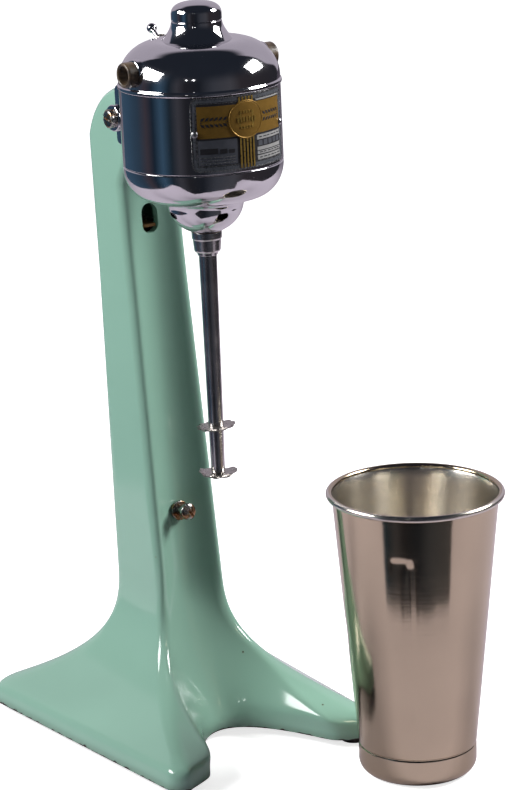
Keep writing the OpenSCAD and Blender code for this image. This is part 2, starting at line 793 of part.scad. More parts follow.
// Outer side outline of the cup from its flat bottom up to under the rim, moved in by t.
function cup_outline(t) = concat(
    [[0, t]],
    [for (i = [0 : 6]) let (a = -90 + 86 * i / 6) [cup_band_r - cup_foot_r + (cup_foot_r - t) * cos(a),
        cup_foot_r + (cup_foot_r - t) * sin(a)]],
    [[cup_band_r - 0.1 - t, cup_band_z - 0.8], [cup_band_r - 0.55 - t, cup_band_z],
     [cup_band_r + 0.1 - t, cup_band_z + 0.8], [cup_neck_r - t, cup_h - 4]]);

module mixing_cup() {
    color(steel) translate([cup_x, cup_y, 0]) union() {
        rotate_extrude($fn = 128) polygon(concat(cup_outline(0),
            [[cup_neck_r + 0.6, cup_h - 2], [cup_neck_r - cup_wall + 0.4, cup_h - 1.6]],
            [for (i = [len(cup_outline(cup_wall)) - 1 : -1 : 0]) cup_outline(cup_wall)[i]]));
        translate([0, 0, cup_h - 2]) rotate_extrude($fn = 128)
            translate([cup_rim_r - 2, 0]) circle(r = 2, $fn = 24);
    }
}

stand_casting();
base_plate();
rubber_feet();
foot_screws();
cord_grommet();
cup_rest_washer();
cup_rest_screw();
lever_bracket();
bracket_screws();
lever_pin();
cup_lever();
lever_spring();
switch_block();
switch_plunger();
mounting_fork();
fork_screws();
bolt_collar();
cross_bolt();
cross_nut();
upper_cap();
motor_body();
lower_casing();
nameplate();
nameplate_pins();
stator_core();
field_coils();
stator_bolts();
brush_holders();
brushes();
brush_springs();
brush_cap_rings();
brush_caps();
bearing_plate();
upper_bearing();
oil_felt();
lower_bearing();
toggle_body();
toggle_bushing();
toggle_nut();
toggle_lever();
motor_shaft();
armature_core();
armature_windings();
commutator();
cooling_fan();
spindle_collar();
spindle();
upper_disc();
lower_disc();
spindle_rivet();
mixing_cup();
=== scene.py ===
"""Looks for the counter-top milkshake mixer and its steel cup.

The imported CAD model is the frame: +Z up, the front is -Y, and the counter is at z = 0. Pieces are drawn in
millimetres and stored in metres. The camera, the lights, the floor and the materials use metres throughout.
"""

import json
from math import atan2, cos, degrees, exp, hypot, pi, radians, sin, sqrt

import bmesh
import bpy
from mathutils import Matrix, Vector


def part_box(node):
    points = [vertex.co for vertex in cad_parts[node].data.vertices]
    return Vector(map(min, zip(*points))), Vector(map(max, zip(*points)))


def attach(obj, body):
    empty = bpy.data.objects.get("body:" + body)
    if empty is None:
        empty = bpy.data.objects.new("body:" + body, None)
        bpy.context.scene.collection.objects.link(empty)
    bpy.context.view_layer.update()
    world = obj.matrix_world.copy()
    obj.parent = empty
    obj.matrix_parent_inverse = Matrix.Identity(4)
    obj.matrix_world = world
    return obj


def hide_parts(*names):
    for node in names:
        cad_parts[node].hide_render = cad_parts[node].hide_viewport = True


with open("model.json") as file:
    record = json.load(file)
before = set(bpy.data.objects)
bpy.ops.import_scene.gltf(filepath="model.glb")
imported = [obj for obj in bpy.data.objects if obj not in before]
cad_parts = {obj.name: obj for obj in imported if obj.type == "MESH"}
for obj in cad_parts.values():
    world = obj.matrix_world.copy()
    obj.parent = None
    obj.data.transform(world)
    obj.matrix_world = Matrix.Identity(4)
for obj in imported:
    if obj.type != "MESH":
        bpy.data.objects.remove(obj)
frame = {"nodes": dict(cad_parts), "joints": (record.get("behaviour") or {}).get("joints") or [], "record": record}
scene = bpy.context.scene
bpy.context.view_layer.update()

MM = 0.001
TURN = 2 * pi
UP = Vector((0, 0, 1))
JOINTS = {j["name"]: j for j in frame["joints"]}


def span(node):
    """Lowest and highest corner of a CAD node, in millimetres."""
    low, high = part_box(node)
    return Vector(low) / MM, Vector(high) / MM


def new_object(name, data):
    obj = bpy.data.objects.new(name, data)
    scene.collection.objects.link(obj)
    return obj


# ---- camera, light and floor ----

CAMERA_PLACE = Vector((-1.0631, -1.6929, 0.8065))
CAMERA_AZIMUTH = radians(-33.5)
CAMERA_DROP = radians(16.5)
CAMERA_ROLL = radians(1.4)
CAMERA_LENS = 152.2
SENSOR_WIDTH = 36
FARTHEST_SEEN = 50


def make_camera():
    data = bpy.data.cameras.new("camera")
    data.lens = CAMERA_LENS
    data.sensor_width = SENSOR_WIDTH
    data.clip_end = FARTHEST_SEEN
    camera = new_object("camera", data)
    level = cos(CAMERA_DROP)
    ahead = Vector((-sin(CAMERA_AZIMUTH) * level, cos(CAMERA_AZIMUTH) * level, -sin(CAMERA_DROP)))
    side = ahead.cross(UP).normalized()
    top = side.cross(ahead)
    right = side * cos(CAMERA_ROLL) - top * sin(CAMERA_ROLL)
    up = top * cos(CAMERA_ROLL) + side * sin(CAMERA_ROLL)
    turn = Matrix((right, up, -ahead)).transposed().to_4x4()
    camera.matrix_world = Matrix.Translation(CAMERA_PLACE) @ turn
    scene.camera = camera


def from_camera(azimuth, elevation):
    """Unit vector, where azimuth 0 is towards the camera and positive to its right, in degrees."""
    a = radians(azimuth)
    e = radians(elevation)
    near = Vector((sin(CAMERA_AZIMUTH), -cos(CAMERA_AZIMUTH), 0))
    right = Vector((cos(CAMERA_AZIMUTH), sin(CAMERA_AZIMUTH), 0))
    return (near * cos(a) + right * sin(a)) * cos(e) + UP * sin(e)


def add(tree, kind, inputs=None, **settings):
    """Adds a shader node. An input is given a constant, or a socket to link from."""
    node = tree.nodes.new("ShaderNode" + kind)
    for name, value in settings.items():
        setattr(node, name, value)
    for name, value in (inputs or {}).items():
        if isinstance(value, bpy.types.NodeSocket):
            tree.links.new(value, node.inputs[name])
        else:
            node.inputs[name].default_value = value
    return node


def calc(tree, operation, a, b=0.0, c=0.0):
    return add(tree, "Math", {0: a, 1: b, 2: c}, operation=operation).outputs[0]


def fade(tree, value, low, high):
    """0 at low, 1 at high, smooth between. Low may be the larger of the two."""
    node = add(tree, "MapRange", {"Value": value, "From Min": low, "From Max": high},
               interpolation_type="SMOOTHSTEP")
    return node.outputs[0]


def mix(tree, factor, a, b):
    return add(tree, "Mix", {0: factor, 6: a, 7: b}, data_type="RGBA").outputs[2]


def rgb(r, g, b):
    return (r, g, b, 1.0)


LILAC = rgb(0.50, 0.455, 0.53)
DARK_ROOM = rgb(0.018, 0.022, 0.032)
# The room's upright bands: azimuth in degrees from the camera's side, and colour.
ROOM_BANDS = (
    (-148, (0.050, 0.095, 0.150)), (-126, (0.042, 0.085, 0.140)), (-101, (0.034, 0.060, 0.095)),
    (-85, (0.058, 0.048, 0.062)), (-72, (0.012, 0.024, 0.042)), (-58, (0.046, 0.095, 0.155)),
    (-44, (0.014, 0.024, 0.036)), (-32, (0.054, 0.054, 0.066)), (-20, (0.020, 0.020, 0.025)),
    (0, (0.014, 0.017, 0.024)), (20, (0.052, 0.056, 0.070)), (45, (0.070, 0.070, 0.082)),
    (62, (0.036, 0.031, 0.036)), (90, (0.034, 0.031, 0.037)), (140, (0.026, 0.026, 0.033)),
)


def make_world():
    """A pale sweep behind the object, and a dim room in front of it for the chrome to reflect."""
    world = bpy.data.worlds.new("studio")
    scene.world = world
    world.use_nodes = True
    tree = world.node_tree
    tree.nodes.clear()
    way = add(tree, "TexCoord").outputs["Generated"]

    def along(direction):
        dot = add(tree, "VectorMath", {0: way, 1: direction}, operation="DOT_PRODUCT")
        return dot.outputs["Value"]

    near = along(from_camera(0, 0))
    right = along(from_camera(90, 0))
    height = along(UP)
    azimuth = calc(tree, "DEGREES", calc(tree, "ARCTAN2", right, near))
    aside = calc(tree, "ABSOLUTE", azimuth)
    elevation = calc(tree, "DEGREES", calc(tree, "ARCSINE", height))

    share = calc(tree, "MULTIPLY_ADD", azimuth, 1 / 360, 0.5)
    bands = add(tree, "ValToRGB", {"Fac": share})
    ramp = bands.color_ramp
    for end in (0, -1):
        angle, colour = ROOM_BANDS[end]
        ramp.elements[end].position = 0.5 + angle / 360
        ramp.elements[end].color = rgb(*colour)
    for angle, colour in ROOM_BANDS[1:-1]:
        ramp.elements.new(0.5 + angle / 360).color = rgb(*colour)

    low_room = fade(tree, elevation, 42.0, 8.0)
    room = mix(tree, low_room, DARK_ROOM, bands.outputs["Color"])
    low = fade(tree, elevation, 22.0, -6.0)
    behind = fade(tree, calc(tree, "MULTIPLY_ADD", low, -26.0, aside), 122.0, 126.0)
    under_top = fade(tree, elevation, 58.0, 44.0)
    seen = mix(tree, calc(tree, "MULTIPLY", behind, under_top), room, LILAC)
    lit = add(tree, "Background", {"Color": seen}).outputs[0]
    plain = add(tree, "Background", {"Color": rgb(1, 1, 1)}).outputs[0]
    straight = add(tree, "LightPath").outputs["Is Camera Ray"]
    both = add(tree, "MixShader", {0: straight, 1: lit, 2: plain})
    add(tree, "OutputWorld", {"Surface": both.outputs[0]})


LIGHTS_AIM = Vector((0, -0.04, 0.33))


def softbox(name, azimuth, elevation, width, height, distance, radiance):
    """A white rectangular light in metres that faces the motor head."""
    data = bpy.data.lights.new(name, "AREA")
    data.shape = "RECTANGLE"
    data.size = width
    data.size_y = height
    data.energy = radiance * pi * width * height
    light = new_object(name, data)
    way = from_camera(azimuth, elevation)
    light.location = LIGHTS_AIM + way * distance
    light.rotation_mode = "QUATERNION"
    light.rotation_quaternion = (-way).to_track_quat("-Z", "Y")


def make_lights():
    softbox("softbox_left", -80, 29, 0.80, 0.50, 1.35, 18.5)
    softbox("softbox_right", 99, 32, 0.60, 0.44, 1.35, 27)
    for side, azimuth in (("a", -19), ("b", -8)):
        softbox("ceiling_lamp_" + side, azimuth, 27, 0.04, 0.04, 1.6, 25)


def plane(name, corners, height):
    mesh = bpy.data.meshes.new(name)
    mesh.from_pydata([(x, y, height) for x, y in corners], [], [tuple(range(len(corners)))])
    obj = new_object(name, mesh)
    return obj


# The sheet under the object, as (right, near) in metres seen from the camera's side.
PAPER = ((-0.42, 0.24), (-0.48, 0.52), (-0.30, 0.49), (-0.05, 0.27), (0.03, 0.315), (0.15, 0.335),
         (0.26, 0.315), (0.33, 0.27), (0.56, 0.47), (0.78, 0.50),
         (0.64, -0.1), (0.95, -1.0), (2.6, -4), (-2.2, -4), (-0.62, -1.0))
FLOOR_HALF = 4
FLOOR_Z = -0.0002
PAPER_Z = -0.0004


def make_floor():
    """A white floor that only the camera sees, and a lilac paper sheet that lights and reflects."""
    floor_corners = ((-1, -1), (1, -1), (1, 1), (-1, 1))
    floor = plane("floor", [(FLOOR_HALF * x, FLOOR_HALF * y) for x, y in floor_corners], FLOOR_Z)
    paper_corners = [from_camera(90, 0) * right + from_camera(0, 0) * near for right, near in PAPER]
    paper = plane("paper", [(corner.x, corner.y) for corner in paper_corners], PAPER_Z)
    for sheet in (floor, paper):
        sheet.visible_shadow = False
    floor.visible_glossy = False
    floor.visible_diffuse = False
    paper.visible_camera = False
    paper.data.materials.append(matte("paper_lilac", (0.52, 0.465, 0.53)))
    white = matte("floor_white", (0.80, 0.80, 0.805))
    floor.data.materials.append(white)
    tree = white.node_tree
    place = add(tree, "TexCoord").outputs["Object"]
    distance = add(tree, "VectorMath", {0: place}, operation="LENGTH").outputs["Value"]
    shader = tree.nodes["Principled BSDF"]
    shader.inputs["Emission Color"].default_value = rgb(1, 1, 1)
    glow = calc(tree, "MULTIPLY_ADD", fade(tree, distance, 0.25, 1.0), 0.25, 0.75)
    tree.links.new(glow, shader.inputs["Emission Strength"])


def matte(name, colour):
    material = bpy.data.materials.new(name)
    material.use_nodes = True
    shader = material.node_tree.nodes["Principled BSDF"]
    shader.inputs["Base Color"].default_value = rgb(*colour)
    shader.inputs["Roughness"].default_value = 0.9
    shader.inputs["Specular IOR Level"].default_value = 0.1
    return material


# ---- materials ----

class Recipe:
    """One procedural material. Noise in the frame's metres varies its colour, roughness and bump."""

    def __init__(self, name, **constants):
        self.material = bpy.data.materials.new(name)
        self.material.use_nodes = True
        self.tree = self.material.node_tree
        self.shader = self.tree.nodes["Principled BSDF"]
        self.place = add(self.tree, "TexCoord").outputs["Object"]
        for socket, value in constants.items():
            self.shader.inputs[socket.replace("_", " ")].default_value = value

    def paint(self, colour):
        self.link(colour, "Base Color")

    def link(self, output, socket):
        self.tree.links.new(output, self.shader.inputs[socket])

    def noise(self, scale, detail=2.0, stretch=(1, 1, 1)):
        where = self.place
        if stretch != (1, 1, 1):
            where = add(self.tree, "Mapping", {"Vector": where, "Scale": stretch}).outputs[0]
        node = add(self.tree, "TexNoise", {"Vector": where, "Scale": scale, "Detail": detail})
        return node.outputs[0]

    def specks(self, scale, size, share):
        """A mask of round specks, of that size in metres, in a share of the cells of a Voronoi pattern."""
        node = add(self.tree, "TexVoronoi", {"Vector": self.place, "Scale": scale})
        near = fade(self.tree, node.outputs["Distance"], size * scale, size * scale * 0.6)
        pick = add(self.tree, "SeparateColor", {"Color": node.outputs["Color"]}).outputs[0]
        return calc(self.tree, "MULTIPLY", near, calc(self.tree, "LESS_THAN", pick, share))

    def height(self):
        return add(self.tree, "SeparateXYZ", {"Vector": self.place}).outputs[2]

    def tone(self, colour, amount, factor):
        """The colour, made lighter or darker by up to amount where factor runs from 0 to 1."""
        dark = rgb(*[c * (1 - amount) for c in colour])
        light = rgb(*[min(1, c * (1 + amount)) for c in colour])
        return mix(self.tree, factor, dark, light)

    def rough(self, low, high, factor):
        node = add(self.tree, "MapRange",
                   {"Value": factor, "From Min": 0.3, "From Max": 0.7, "To Min": low, "To Max": high})
        self.link(node.outputs[0], "Roughness")

    def bump(self, height, depth):
        """Bump of that depth in metres."""
        node = add(self.tree, "Bump", {"Height": height, "Distance": depth, "Strength": 1.0})
        self.link(node.outputs[0], "Normal")


def simple(name, colour, metal, rough, vary=0.08, spots=60, grain=400, depth=0.00002, stretch=(1, 1, 1),
           **more):
    """A material whose colour varies over large patches and whose roughness and bump follow a fine grain."""
    recipe = Recipe(name, Metallic=metal, **more)
    patches = recipe.noise(spots, 3.0)
    fine = recipe.noise(grain, 2.0, stretch)
    recipe.paint(recipe.tone(colour, vary, patches))
    recipe.rough(rough * 0.75, rough * 1.3, fine)
    recipe.bump(fine, depth)
    return recipe


def jade_enamel():
    """Glossy porcelain enamel: slight orange peel, chips along the lower edge, a few rust specks."""
    recipe = Recipe("jade_enamel")
    tree = recipe.tree
    jade = (0.260, 0.452, 0.355)
    body = recipe.tone(jade, 0.05, recipe.noise(14, 3.0))
    ragged = recipe.noise(160, 4.0)
    foot = span("stand_casting")[0].z * MM
    edge = calc(tree, "MULTIPLY_ADD", ragged, -0.005, calc(tree, "SUBTRACT", recipe.height(), foot - 0.0021))
    worn = fade(tree, edge, 0.0003, -0.0002)
    # Darker towards the bottom edge: the enamel is mixed towards dark green within 6 mm of the casting's foot.
    bottom_darkening = fade(tree, calc(tree, "SUBTRACT", recipe.height(), foot), 0.006, 0.0)
    body = mix(tree, calc(tree, "MULTIPLY", bottom_darkening, 0.45), body, rgb(0.10, 0.15, 0.11))
    halo = recipe.specks(42, 0.0012, 0.11)
    body = mix(tree, calc(tree, "MULTIPLY", halo, 0.35), body, rgb(0.22, 0.24, 0.13))
    pits = recipe.specks(42, 0.00062, 0.11)
    chips = calc(tree, "MAXIMUM", worn, pits)
    recipe.paint(mix(tree, chips, body, rgb(0.022, 0.017, 0.013)))
    roughness = add(tree, "Mix", {0: chips, 2: 0.10, 3: 0.6}, data_type="FLOAT").outputs[0]
    recipe.link(roughness, "Roughness")
    peel = recipe.noise(55)
    level = calc(tree, "SUBTRACT", calc(tree, "MULTIPLY", peel, 0.5), chips)
    recipe.bump(level, 0.00025)
    return recipe.material


def bright_chrome():
    """Old chromium plate: bright, with faint haze, tiny pits and fine wiping marks."""
    recipe = Recipe("bright_chrome", Metallic=1.0)
    haze = recipe.noise(70, 4.0)
    recipe.paint(recipe.tone((0.63, 0.625, 0.645), 0.06, haze))
    pits = recipe.specks(260, 0.00035, 0.2)
    fine = calc(recipe.tree, "MULTIPLY_ADD", pits, 0.25, haze)
    recipe.rough(0.045, 0.105, fine)
    waves = recipe.noise(45)
    level = calc(recipe.tree, "SUBTRACT", waves, calc(recipe.tree, "MULTIPLY", pits, 0.35))
    level = calc(recipe.tree, "MULTIPLY_ADD", recipe.noise(650), 0.22, level)
    recipe.bump(level, 0.00003)
    return recipe.material


def cup_steel():
    """The cup's outside: stainless steel with polishing lines round it and faint stains."""
    recipe = Recipe("cup_steel", Metallic=1.0)
    tree = recipe.tree
    lines = recipe.noise(30, 2.0, (1, 1, 60))
    stains = recipe.noise(26, 4.0)
    body = recipe.tone((0.54, 0.455, 0.33), 0.10, stains)
    marks = recipe.specks(34, 0.0022, 0.10)
    recipe.paint(mix(tree, calc(tree, "MULTIPLY", marks, 0.35), body, rgb(0.33, 0.20, 0.14)))
    recipe.rough(0.10, 0.15, lines)
    recipe.bump(calc(tree, "MULTIPLY_ADD", lines, 0.01, stains), 0.00012)
    return recipe.material


def cup_inside():
    """The cup's inside: duller, brushed steel."""
    recipe = Recipe("cup_inside", Metallic=1.0, Anisotropic=0.7, Anisotropic_Rotation=0.25)
    lines = recipe.noise(24, 3.0, (1, 1, 50))
    recipe.paint(recipe.tone((0.70, 0.66, 0.59), 0.10, recipe.noise(30, 4.0)))
    recipe.rough(0.23, 0.27, lines)
    recipe.bump(lines, 0.000001)
    return recipe.material


def worn_brass():
    """Brass under worn nickel: grey plate left in patches, brown in the corners."""
    recipe = Recipe("worn_brass", Metallic=1.0)
    tree = recipe.tree
    patches = fade(tree, recipe.noise(190), 0.42, 0.54)
    bare = recipe.tone((0.30, 0.175, 0.095), 0.30, recipe.noise(400))
    recipe.paint(mix(tree, patches, bare, rgb(0.36, 0.35, 0.33)))
    recipe.rough(0.16, 0.34, recipe.noise(500))
    recipe.bump(recipe.noise(400), 0.00003)
    return recipe.material


def brown_bakelite():
    """Mottled brown moulding with a worn shine."""
    recipe = Recipe("brown_bakelite", Coat_Weight=0.35, Coat_Roughness=0.25)
    tree = recipe.tree
    swirl = recipe.noise(120, 4.0, (1, 1, 2.2))
    streaks = fade(tree, swirl, 0.35, 0.65)
    recipe.paint(mix(tree, streaks, rgb(0.035, 0.024, 0.016), rgb(0.120, 0.080, 0.045)))
    recipe.rough(0.30, 0.55, recipe.noise(500))
    recipe.bump(swirl, 0.00006)
    return recipe.material


def black_rubber():
    recipe = simple("black_rubber", (0.018, 0.018, 0.018), 0.0, 0.62, vary=0.3, grain=1200, depth=0.00005)
    recipe.shader.inputs["Specular IOR Level"].default_value = 0.35
    return recipe.material


def plate_finish(name, colour, metal, rough):
    """A printed or plated part of the nameplate, with rubbed patches."""
    recipe = Recipe(name, Metallic=metal)
    rubbed = recipe.noise(300, 4.0)
    recipe.paint(recipe.tone(colour, 0.20, rubbed))
    recipe.rough(rough * 0.8, rough * 1.3, recipe.noise(900))
    recipe.bump(rubbed, 0.000001)
    return recipe.material


def make_materials():
    """One material for each slot of the record."""
    makers = (jade_enamel, bright_chrome, cup_steel, worn_brass, brown_bakelite, black_rubber)
    made = {make.__name__: make() for make in makers}
    made["plate_metal"] = plate_finish("plate_metal", (0.42, 0.42, 0.42), 0.9, 0.25)
    looks = {
        "black_plate": ((0.02, 0.02, 0.02), 0.0, 0.45, {}),
        "plain_steel": ((0.40, 0.40, 0.41), 1.0, 0.28, {}),
        "aged_brass": ((0.33, 0.20, 0.085), 1.0, 0.36, {"vary": 0.35, "spots": 300}),
        "black_bakelite": ((0.015, 0.014, 0.013), 0.0, 0.25, {"vary": 0.3}),
        "lamination_steel": ((0.20, 0.20, 0.21), 1.0, 0.40, {"grain": 60, "stretch": (1, 1, 40)}),
        "copper_wire": ((0.42, 0.14, 0.05), 0.8, 0.32, {"grain": 60, "stretch": (1, 1, 30)}),
        "copper_bar": ((0.62, 0.28, 0.14), 1.0, 0.24, {}),
        "carbon": ((0.03, 0.03, 0.03), 0.0, 0.5, {"grain": 900}),
        "felt": ((0.32, 0.27, 0.20), 0.0, 0.9, {"vary": 0.25, "grain": 1500, "depth": 0.0002}),
        "worn_nickel": ((0.40, 0.37, 0.345), 1.0, 0.30,
                        {"vary": 0.30, "spots": 400, "grain": 600, "depth": 0.00006}),
        "spindle_steel": ((0.62, 0.60, 0.59), 1.0, 0.20, {"vary": 0.05, "grain": 60, "depth": 0.0}),
    }
    for slot, (colour, metal, rough, more) in looks.items():
        made[slot] = simple(slot, colour, metal, rough, **more).material
    return made


# ---- mesh helpers ----

ON_AXIS = 1e-6


def put(name, bm, place=None):
    """Makes an object in metres from a bmesh in millimetres."""
    if place is not None:
        bm.transform(place)
    bm.transform(Matrix.Scale(MM, 4))
    bmesh.ops.recalc_face_normals(bm, faces=bm.faces)
    if bm.calc_volume(signed=True) < 0:
        bmesh.ops.reverse_faces(bm, faces=bm.faces)
    mesh = bpy.data.meshes.new(name)
    bm.to_mesh(mesh)
    bm.free()
    return new_object(name, mesh)


def modify(obj, kind, **settings):
    """Adds a modifier with these settings and turns it into mesh."""
    modifier = obj.modifiers.new(kind, kind)
    for name, value in settings.items():
        setattr(modifier, name, value)
    graph = bpy.context.evaluated_depsgraph_get()
    mesh = bpy.data.meshes.new_from_object(obj.evaluated_get(graph))
    obj.modifiers.clear()
    obj.data = mesh


def shade(obj, sharp):
    """Smooth shading, with crisp edges where faces meet at more than that many degrees."""
    bm = bmesh.new()
    bm.from_mesh(obj.data)
    for face in bm.faces:
        face.smooth = True
    for edge in bm.edges:
        edge.smooth = len(edge.link_faces) != 2 or edge.calc_face_angle(0) < radians(sharp)
    bm.to_mesh(obj.data)
    bm.free()


def piece(name, bm, slot, replaced=(), place=None, body="stand", cutters=(), sharp=38, material=None,
          bevel=0.0):
    """One visible piece: cut, rounded, shaded, given its material, and riding on its body."""
    obj = put(name, bm, place)
    for tool in cutters:
        other = put("cutter", tool)
        modify(obj, "BOOLEAN", operation="DIFFERENCE", solver="EXACT", object=other)
        bpy.data.objects.remove(other)
    if bevel:
        modify(obj, "BEVEL", width=bevel * MM, segments=3, limit_method="ANGLE", angle_limit=radians(30))
    shade(obj, sharp)
    obj.data.materials.clear()
    obj.data.materials.append(material or MATERIALS[slot])
    if replaced:
        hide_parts(*replaced)
    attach(obj, body)
    return obj


def circle(radius, count):
    """That many (x, y) points round the origin."""
    return [(radius * cos(TURN * k / count), radius * sin(TURN * k / count)) for k in range(count)]


def ring(bm, points, height):
    return [bm.verts.new((x, y, height)) for x, y in points]


def skin(bm, low, high):
    """Joins two closed rings of vertices by a band of faces. A ring of one vertex is a pole."""
    turns = max(len(low), len(high))
    for k in range(turns):
        n = (k + 1) % turns
        corners = (low[k % len(low)], low[n % len(low)], high[n % len(high)], high[k % len(high)])
        corners = list(dict.fromkeys(corners))
        if len(corners) > 2:
            bm.faces.new(corners)


def lathe(outline, turns, closed=False):
    """Spins (radius, height) points about Z. Points on the axis become poles."""
    bm = bmesh.new()
    rings = []
    for radius, height in outline:
        points = circle(radius, turns) if radius > ON_AXIS else [(0, 0)]
        rings.append(ring(bm, points, height))
    for low, high in zip(rings, rings[1:]):
        skin(bm, low, high)
    if closed:
        skin(bm, rings[-1], rings[0])
    return bm


def eased(points, steps=5):
    """Rounds each corner of an outline of (radius, height, size) points over that size."""
    smooth = []
    last = len(points) - 1
    for k, (radius, height, size) in enumerate(points):
        here = Vector((radius, height))
        if size == 0 or k in (0, last):
            smooth.append((radius, height))
            continue
        before = Vector(points[k - 1][:2]) - here
        after = Vector(points[k + 1][:2]) - here
        start = here + before.normalized() * min(size, before.length * 0.49)
        end = here + after.normalized() * min(size, after.length * 0.49)
        for j in range(steps + 1):
            t = j / steps
            spot = start * (1 - t) ** 2 + here * 2 * t * (1 - t) + end * t ** 2
            smooth.append((spot.x, spot.y))
    return smooth


def block(size, centre):
    bm = bmesh.new()
    bmesh.ops.create_cube(bm, size=1.0)
    bm.transform(Matrix.Translation(centre) @ Matrix.Diagonal((*size, 1)))
    return bm


def prism(outline, low, high):
    """A solid from a flat (x, y) outline, between two heights."""
    bm = bmesh.new()
    bottom = ring(bm, outline, low)
    top = ring(bm, outline, high)
    bm.faces.new(bottom[::-1])
    bm.faces.new(top)
    skin(bm, bottom, top)
    return bm


def stadium(width, height):
    """A flat outline with round ends, its long side along y."""
    radius = width / 2
    lift = height / 2 - radius
    points = arc(0, lift, radius, radius, 0, 180, 24)
    return points + [(-x, -y) for x, y in points]


def joined(parts):
    """One bmesh from several."""
    whole = bmesh.new()
    for part in parts:
        mesh = bpy.data.meshes.new("part")
        part.to_mesh(mesh)
        part.free()
        whole.from_mesh(mesh)
        bpy.data.meshes.remove(mesh)
    return whole


def turned(angle, axis):
    return Matrix.Rotation(radians(angle), 4, axis)


def moved(x, y, z):
    return Matrix.Translation((x, y, z))


def head_place():
    """The motor head's own frame: Z is the motor axis, and -Y its front."""
    spin = JOINTS["spindle_spin"]
    tilt = atan2(spin["axis"][1], spin["axis"][2])
    return Matrix.Translation(Vector(spin["pos_m"]) / MM) @ Matrix.Rotation(-tilt, 4, "X")


# ---- the enamelled stand ----

STAND_LOW, STAND_HIGH = span("stand_casting")
FOOT_H = STAND_LOW.z
COLUMN_TOP = STAND_HIGH.z
BASE_HALF = 78.5
BASE_BACK_HALF = 90
BASE_FRONT = -STAND_LOW.y
BASE_BACK = STAND_HIGH.y
LIP_H = 11.6
LIP_TOP = FOOT_H + LIP_H
SPREAD_TOP = 104
NOTCH_HALF = 45.5
NOTCH_Y = 42.7
COLUMN_HALF = 22
HEAD_START = 356
HEAD_FRONT = 13.6
HEAD_BACK_R = 53.8
CROWN_H = 11
WALL = 4.5
SLOT_Z = 324.5
SLOT_W = 11.5
REST_Z = 139.5
REST_LEAN = 10
TOE_SLANT = 9.4
TOE_OUT = 68
TOE_IN = 46
STRAIGHT_FRONT = BASE_FRONT - 12.5


def blend(a, b, t):
    return a + (b - a) * t


def clamp01(t):
    return min(1.0, max(0.0, t))


def ease(t):
    t = clamp01(t)
    return t * t * (3 - 2 * t)


def soft_plus(u, k):
    return (u + sqrt(u * u + k * k)) / 2


def spread(z, low, power):
    """How far the casting has spread into its base: 0 on the column, 1 on the base, eased at the lip."""
    t = (z - low) / (SPREAD_TOP - low)
    return (1 - clamp01(soft_plus(t, 0.03) if t < 0.5 else t)) ** power


def column_front(z):
    return -14.1 + 0.1426 * (z - 100)


def column_back(z):
    return 45 + 0.0724 * (z - 100)


def column_trough(z):
    return 2.6 + 0.121 * (z - 140)


def column_width(z):
    return blend(24.6, COLUMN_HALF, clamp01((z - 100) / 190))


def crown(z):
    s = clamp01((z - COLUMN_TOP + CROWN_H) / CROWN_H)
    return 1 - sqrt(max(0.0, 1 - s * s))


def head_back(z):
    s = (z - HEAD_START) / (COLUMN_TOP + 1 - HEAD_START)
    return HEAD_FRONT + HEAD_BACK_R * sqrt(max(0.02, 1 - s ** 2.2))


def edge_half(z):
    draft = 1.2 * (1 - clamp01((z - FOOT_H) / LIP_H))
    return blend(column_width(z), BASE_HALF, spread(z, LIP_TOP, 3)) + draft - 7 * crown(z)


def edge_front(z):
    column = blend(column_front(z), HEAD_FRONT, ease((z - 345) / 22))
    return blend(column, -BASE_FRONT, spread(z, LIP_TOP + 2, 3.8)) + 2 * crown(z)


def edge_back(z):
    column = min(column_back(z), head_back(z)) if z > HEAD_START else column_back(z)
    return blend(column, BASE_BACK, spread(z, LIP_TOP, 3.1))


def trough(z):
    column = blend(column_trough(z), HEAD_FRONT, ease((z - 345) / 22))
    return blend(column, -NOTCH_Y, spread(z, 12, 1.93))


def trough_half(z):
    return blend(column_width(z) - 3.5, NOTCH_HALF, spread(z, 12, 1.37))


def corner_back(z):
    return blend(11.3, 15.4, spread(z, LIP_TOP, 3)) - 6 * crown(z)


def corner_front(z):
    return blend(8, 11, spread(z, LIP_TOP, 3)) - 4 * crown(z)


def slant(z):
    return TOE_SLANT * spread(z, LIP_TOP + 2, 3.8)


def taper(z):
    return (BASE_BACK_HALF / BASE_HALF - 1) / (BASE_BACK + STRAIGHT_FRONT) * spread(z, LIP_TOP, 3)


def section(half, front, back, rf, rb, depth, reach, toe, widen):
    """One level of the casting as a closed loop: a rounded rectangle with a parabolic trough in front.

    rf and rb are the corner radii in front and at the back.
    """
    def push(x):
        slanted = toe * clamp01((TOE_OUT - x) / (TOE_OUT - TOE_IN))
        return depth * soft_plus(1 - (x / reach) ** 2, 0.12) + slanted

    flat = half - rf
    right = [(flat * k / 40, front + push(flat * k / 40)) for k in range(40)]
    for k in range(12):
        a = pi / 2 * k / 12
        x = flat + rf * sin(a)
        right.append((x, front + push(x) + rf * (1 - cos(a))))
    side_front = front + push(half) + rf
    side_back = back - rb
    right += [(half, blend(side_front, side_back, k / 20)) for k in range(20)]
    for k in range(12):
        a = pi / 2 * k / 12
        right.append((half - rb * (1 - cos(a)), side_back + rb * sin(a)))
    right += [((half - rb) * (1 - k / 14), back) for k in range(15)]
    loop = right + [(-x, y) for x, y in right[-2:0:-1]]
    return [(x * (1 + widen * (y + STRAIGHT_FRONT)), y) for x, y in loop]


def outer_section(z):
    return section(edge_half(z), edge_front(z), edge_back(z), corner_front(z), corner_back(z),
                   trough(z) - edge_front(z) - slant(z), trough_half(z), slant(z), taper(z))


def inner_section(z):
    h = z + 6
    half = edge_half(h) - WALL
    front = edge_front(h) + WALL + 1.5
    depth = trough(h) + WALL - front - slant(h)
    reach = min(trough_half(h) + WALL, half - 1)
    return section(half, front, edge_back(h) - WALL, 6, corner_back(h) - 3, depth, reach, slant(h), taper(h))


